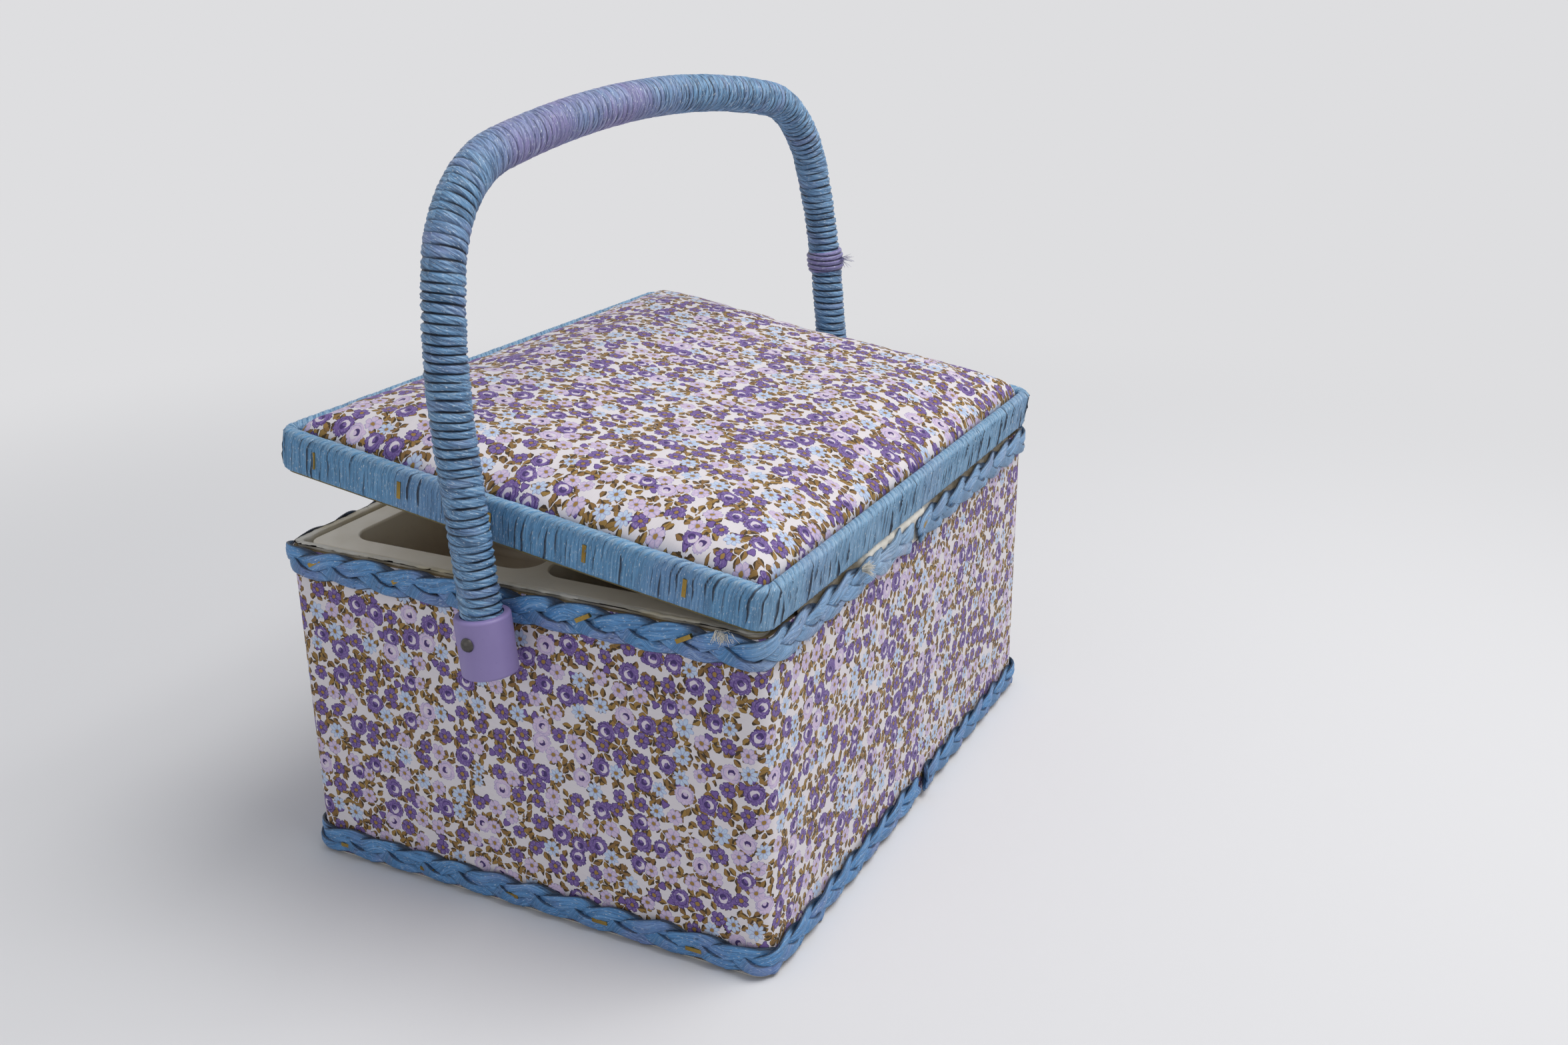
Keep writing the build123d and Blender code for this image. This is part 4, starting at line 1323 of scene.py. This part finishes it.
def arch_line(spacing):
    """Centre line of the handle upright in its own plane, with its headings and its stretches' ends.

    It runs from the right foot over to the left one.

    Straight feet, bowed legs, tight corners and a nearly flat top: the heading turns at an even
    rate along each stretch, and the places are the running sum of the headings.
    """
    a = ARCH
    top = np.array([0, a["rise"] - a["top"]])
    leg = np.array([a["half"] - a["leg"], a["straight"]])
    from_top, from_leg = a["top"] - a["corner"], a["leg"] - a["corner"]
    apart = leg - top
    distance = np.hypot(*apart)
    along = (from_top**2 - from_leg**2 + distance**2) / (2 * distance)
    aside = math.sqrt(from_top**2 - along**2)
    unit = apart / distance
    centre = top + unit * along + np.array([unit[1], -unit[0]]) * aside
    top_turn = math.atan2(centre[0], centre[1] - top[1])
    leg_turn = math.atan2(centre[1] - a["straight"], centre[0] - leg[0])
    corner_turn = math.pi / 2 - top_turn - leg_turn
    side = [
        (a["straight"] - a["foot"], 0),
        (a["leg"] * leg_turn, leg_turn),
        (a["corner"] * corner_turn, corner_turn),
    ]
    stretches = np.array([*side, (2 * a["top"] * top_turn, 2 * top_turn), *reversed(side)])
    ends, turns = map(running, stretches.T)
    fine = np.linspace(0, ends[-1], 8001)
    heading = np.interp(fine, ends, math.pi / 2 + turns)

    x, z = (
        start + running((slope[1:] + slope[:-1]) / 2 * fine[1])
        for start, slope in ((a["half"], np.cos(heading)), (a["foot"], np.sin(heading)))
    )
    s = np.linspace(0, ends[-1], int(ends[-1] / spacing))
    return s, np.interp(s, fine, x), np.interp(s, fine, z), np.interp(s, fine, heading), ends


def on_handle(points):
    """From the handle upright over its pivots to where it leans to the front."""
    cos, sin = math.cos(LEAN), math.sin(LEAN)
    y, z = points[..., 1], points[..., 2]
    return np.stack([points[..., 0], y * cos - z * sin, PIVOT_Z + y * sin + z * cos], -1)


def tube(x, z, heading, radius, theta):
    """Round tube about the handle's line: radius out along the line's normal and across its plane."""
    out_x, out_z = np.sin(heading)[:, None], -np.cos(heading)[:, None]
    return np.stack([
        x[:, None] + radius * np.cos(theta) * out_x,
        radius * np.sin(theta) + 0 * x[:, None],
        z[:, None] + radius * np.cos(theta) * out_z,
    ], -1)


class SewingBoxHandle(bpy.types.Operator):
    """Raffia wound round the handle: a tube whose radius dips between the turns of a helix"""

    bl_idname = "sewing_box.handle"
    bl_label = "Wound handle"

    def execute(self, context):
        s, x, z, heading, ends = arch_line(0.30)
        theta = np.linspace(0, FULL_TURN, 33)
        random = np.random.default_rng(61)
        band = mm(settings("raffia").handle_band)
        widths = random.uniform(0.80, 1.20, int(s[-1] / band) + 8) * band
        edges = running(widths) - 3 * band
        S, T = np.meshgrid(s, theta, indexing="ij")
        place = tube(x, z, heading, HANDLE_RADIUS, T)
        spot = [place[..., k] for k in range(3)]
        wander = 0.34 * swell(13, 62, *spot) + 0.5 * swell(34, 66, *spot)
        turn = np.interp(S + wander, edges, np.arange(len(edges))) + T / FULL_TURN
        index = np.floor(turn).astype(int)
        u = 2 * (turn - index) - 1
        # over the arch the turns lie closer and flatter
        fine = smooth(ends[2] - 25, ends[3] - 5, s) * (1 - smooth(ends[3] + 95, ends[4] - 40, s))
        fine = fine[:, None] * np.ones_like(T)
        open_gap = np.clip(0.62 + 0.75 * swell(15, 68, *spot) + 0.25 * np.abs(np.sin(T)), 0.1, 1.25)
        open_gap *= 1 - 0.62 * fine
        level = random.uniform(-0.34, 0.0, len(edges) + 4)[index] * (1 - 0.5 * fine)
        rounding = np.sqrt(np.clip(1 - np.abs(u) ** (3.4 - 1.3 * open_gap), 0, 1))
        ribs = 0.16 * np.sin(FULL_TURN * 1.1 * u + 4.4 * index + 2.0 * T) * (1 - 0.6 * fine)
        radius = 8.15 + level - (0.40 + 1.05 * open_gap) * (1 - rounding) + ribs
        run = HANDLE_RADIUS * T - HANDLE_RADIUS * FULL_TURN * index
        uv = np.stack([turn * band + 0.30 * run, run], -1)
        # painted shade in the gaps between turns, darker where they open wider
        crease = smooth(0.60, 0.95, np.abs(u)) * np.clip(1.25 * open_gap, 0, 1)
        # the lilac stretch, by its distance from the right foot
        lilac = smooth(178, 215, s) * (1 - smooth(285, 345, s))
        tint = np.clip(1.05 * lilac + 0.30 * smooth(0.3, 0.9, ripple(s, 45, 63)), 0, 1)[:, None]
        patchy = np.clip(0.72 + 0.5 * swell(30, 64, *spot), 0, 1)
        mesh = Mesh()
        mesh.ring(on_handle(tube(x, z, heading, radius, T)), uv, crease=crease, tint=tint * patchy)
        mesh.piece(
            "handle_winding", raffia_material("winding"), "handle",
            ["handle_wrap_right", "handle_wrap_top", "handle_wrap_left"],
        )
        return {"FINISHED"}


class SewingBoxTie(bpy.types.Operator):
    """Lilac raffia tied round the left leg: four uneven turns and a frayed stub of fibres"""

    bl_idname = "sewing_box.tie"
    bl_label = "Handle tie"

    def execute(self, context):
        s, x, z, heading, _ = arch_line(0.35)
        height, half, pitch = 85.0, 5.5, 2.7
        left = s > s[-1] / 2
        middle = s[left][np.argmin(np.abs(z[left] - height))]
        near = np.abs(s - middle) < half
        s, x, z, heading = s[near], x[near], z[near], heading[near]
        theta = np.linspace(0, FULL_TURN, 33)
        S, T = np.meshgrid(s - middle, theta, indexing="ij")
        turn = S / pitch + T / FULL_TURN + 0.15 * np.sin(2 * T)
        u = 2 * (turn % 1) - 1
        edge = np.sqrt(np.clip(1 - (np.abs(S) / (half + 0.1)) ** 4, 0, 1))
        radius = 7.6 + (1.5 * np.sqrt(np.clip(1 - np.abs(u) ** 2.2, 0, 1)) + 0.5) * edge
        mesh = Mesh()
        uv = np.stack([S, T * HANDLE_RADIUS], -1)
        # crease paints shade between the turns
        mesh.ring(on_handle(tube(x, z, heading, radius, T)), uv, crease=smooth(0.6, 1.0, np.abs(u)), tint=1.0)
        k = len(s) // 2
        root = np.array([x[k] - 1.0, 7.5, z[k]])
        fray(mesh, root, (0.0, 1.0, 0.1), 18, 7.5, 0.36, np.random.default_rng(71), turned=on_handle)
        mesh.piece("handle_tie_raffia", raffia_material("tie"), "handle", ["handle_tie"])
        return {"FINISHED"}


class SewingBoxFinishes(bpy.types.Operator):
    """Finishes of the carried-over parts: boards, tray, staples, rivets, cups and core"""

    bl_idname = "sewing_box.finishes"
    bl_label = "Finishes"

    def execute(self, context):
        for node, name in NODE_FINISH.items():
            data = frame["nodes"][node].data
            data.materials.clear()
            data.materials.append(worn_material(name, *FINISHES[name]))
        return {"FINISHED"}


# ------------------------------------------------------------------ stage
PALE = srgb(222, 222, 224)
CAMERA_PLACE = (0.57871507, 0.33455085, 0.36553686)
CAMERA_AXES = (    # to its right, up and back
    (-0.44418743, 0.89590344, -0.0073858),
    (-0.31325235, -0.14757605, 0.9381334),
    (0.83938698, 0.41902068, 0.34619528),
)
LAMPS = {    # place, side, power and colour
    "key": ((-0.25, 0.75, 1.65), 1.1, 22.0, (1.0, 0.985, 0.96)),
    "fill": ((1.7, -0.3, 0.7), 1.2, 1.6, (0.95, 0.97, 1.0)),
}
LAMPS_AIM = (0, 0, 0.12)
FLOOR_HALF = 6000    # millimetres, as is its drop below the box
FLOOR_DROP = 0.15


class SewingBoxStage(bpy.types.Operator):
    """Camera, pale floor, pale surroundings and soft lamps"""

    bl_idname = "sewing_box.stage"
    bl_label = "Stage"

    def execute(self, context):
        scene = context.scene
        scene.view_settings.view_transform = "Standard"
        matrix = Matrix(CAMERA_AXES).transposed().to_4x4()
        matrix.translation = CAMERA_PLACE
        data = bpy.data.cameras.new("camera")
        data.sensor_width, data.lens = 36.0, 35.70
        data.clip_start, data.clip_end = 0.01, 50
        camera = bpy.data.objects.new("camera", data)
        camera.matrix_world = matrix
        scene.collection.objects.link(camera)
        scene.camera = camera

        mesh = Mesh()
        line = np.linspace(-FLOOR_HALF, FLOOR_HALF, 3)
        x, y = np.meshgrid(line, line, indexing="ij")
        mesh.grid(np.stack([x, y, np.full_like(x, -FLOOR_DROP)], -1), np.stack([x, y], -1), turn=False)
        material, net, shader = new_material("pale_floor")
        fade = net.fade(net.length(net.add("TexCoord", out="Object")), 0.34, 0.95)
        bright = fade * net.add("LightPath", out="Is Camera Ray")
        for name, value in (
            ("Roughness", 0.9), ("Emission Strength", 1.0), ("Specular IOR Level", 0.0),
            ("Base Color", net.mix(bright, srgb(226, 226, 228), (0, 0, 0))),
            ("Emission Color", net.mix(bright, (0, 0, 0), PALE)),
        ):
            net.feed(shader.inputs[name], value)
        floor = mesh.piece("floor", material)

        world = bpy.data.worlds.new("studio")
        scene.world = world
        world.use_nodes = True
        net = Net(world.node_tree)
        path = net.add("LightPath", out=None)
        through = net.math("MAXIMUM", path["Is Glossy Ray"], path["Is Transmission Ray"])
        seen = net.math("MAXIMUM", path["Is Camera Ray"], through)
        back = world.node_tree.nodes["Background"]
        net.feed(back.inputs["Color"], net.mix(seen, (0.42, 0.43, 0.45), PALE))

        for name, (place, size, power, tone) in LAMPS.items():
            lamp = bpy.data.lights.new(name, "AREA")
            lamp.energy, lamp.size, lamp.color = power, size, tone
            lamp_object = bpy.data.objects.new(name, lamp)
            lamp_object.location = place
            way = Vector(LAMPS_AIM) - Vector(place)
            lamp_object.rotation_euler = way.to_track_quat("-Z", "Y").to_euler()
            scene.collection.objects.link(lamp_object)
        return {"FINISHED"}


OPERATORS = (
    SewingBoxStage, SewingBoxFinishes, SewingBoxBodyCloth, SewingBoxLining, SewingBoxPlaits,
    SewingBoxFloorPad, SewingBoxRim, SewingBoxPaddedTop, SewingBoxLidLining, SewingBoxHinge,
    SewingBoxHandle, SewingBoxTie,
)


class SewingBoxPanel(bpy.types.Panel):
    """Settings of the sewing box and one button for each of its pieces"""

    bl_idname = "VIEW3D_PT_sewing_box"
    bl_label = "Sewing box"
    bl_space_type = "VIEW_3D"
    bl_region_type = "UI"
    bl_category = "Sewing box"

    def draw(self, context):
        for name, group in GROUPS.items():
            box = self.layout.box()
            box.label(text=name.capitalize())
            for prop in group.__annotations__:
                box.prop(settings(name), prop)
        for operator in OPERATORS:
            self.layout.operator(operator.bl_idname)


CLASSES = (*GROUPS.values(), *OPERATORS, SewingBoxPanel)


def register():
    for kind in CLASSES:
        bpy.utils.register_class(kind)
    for name, group in GROUPS.items():
        setattr(bpy.types.Scene, "sewing_box_" + name, PointerProperty(type=group))


def unregister():
    for name in GROUPS:
        delattr(bpy.types.Scene, "sewing_box_" + name)
    for kind in reversed(CLASSES):
        bpy.utils.unregister_class(kind)


def main():
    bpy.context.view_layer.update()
    register()
    for operator in OPERATORS:
        family, name = operator.bl_idname.split(".")
        getattr(getattr(bpy.ops, family), name)()


if __name__ == "__main__":
    main()
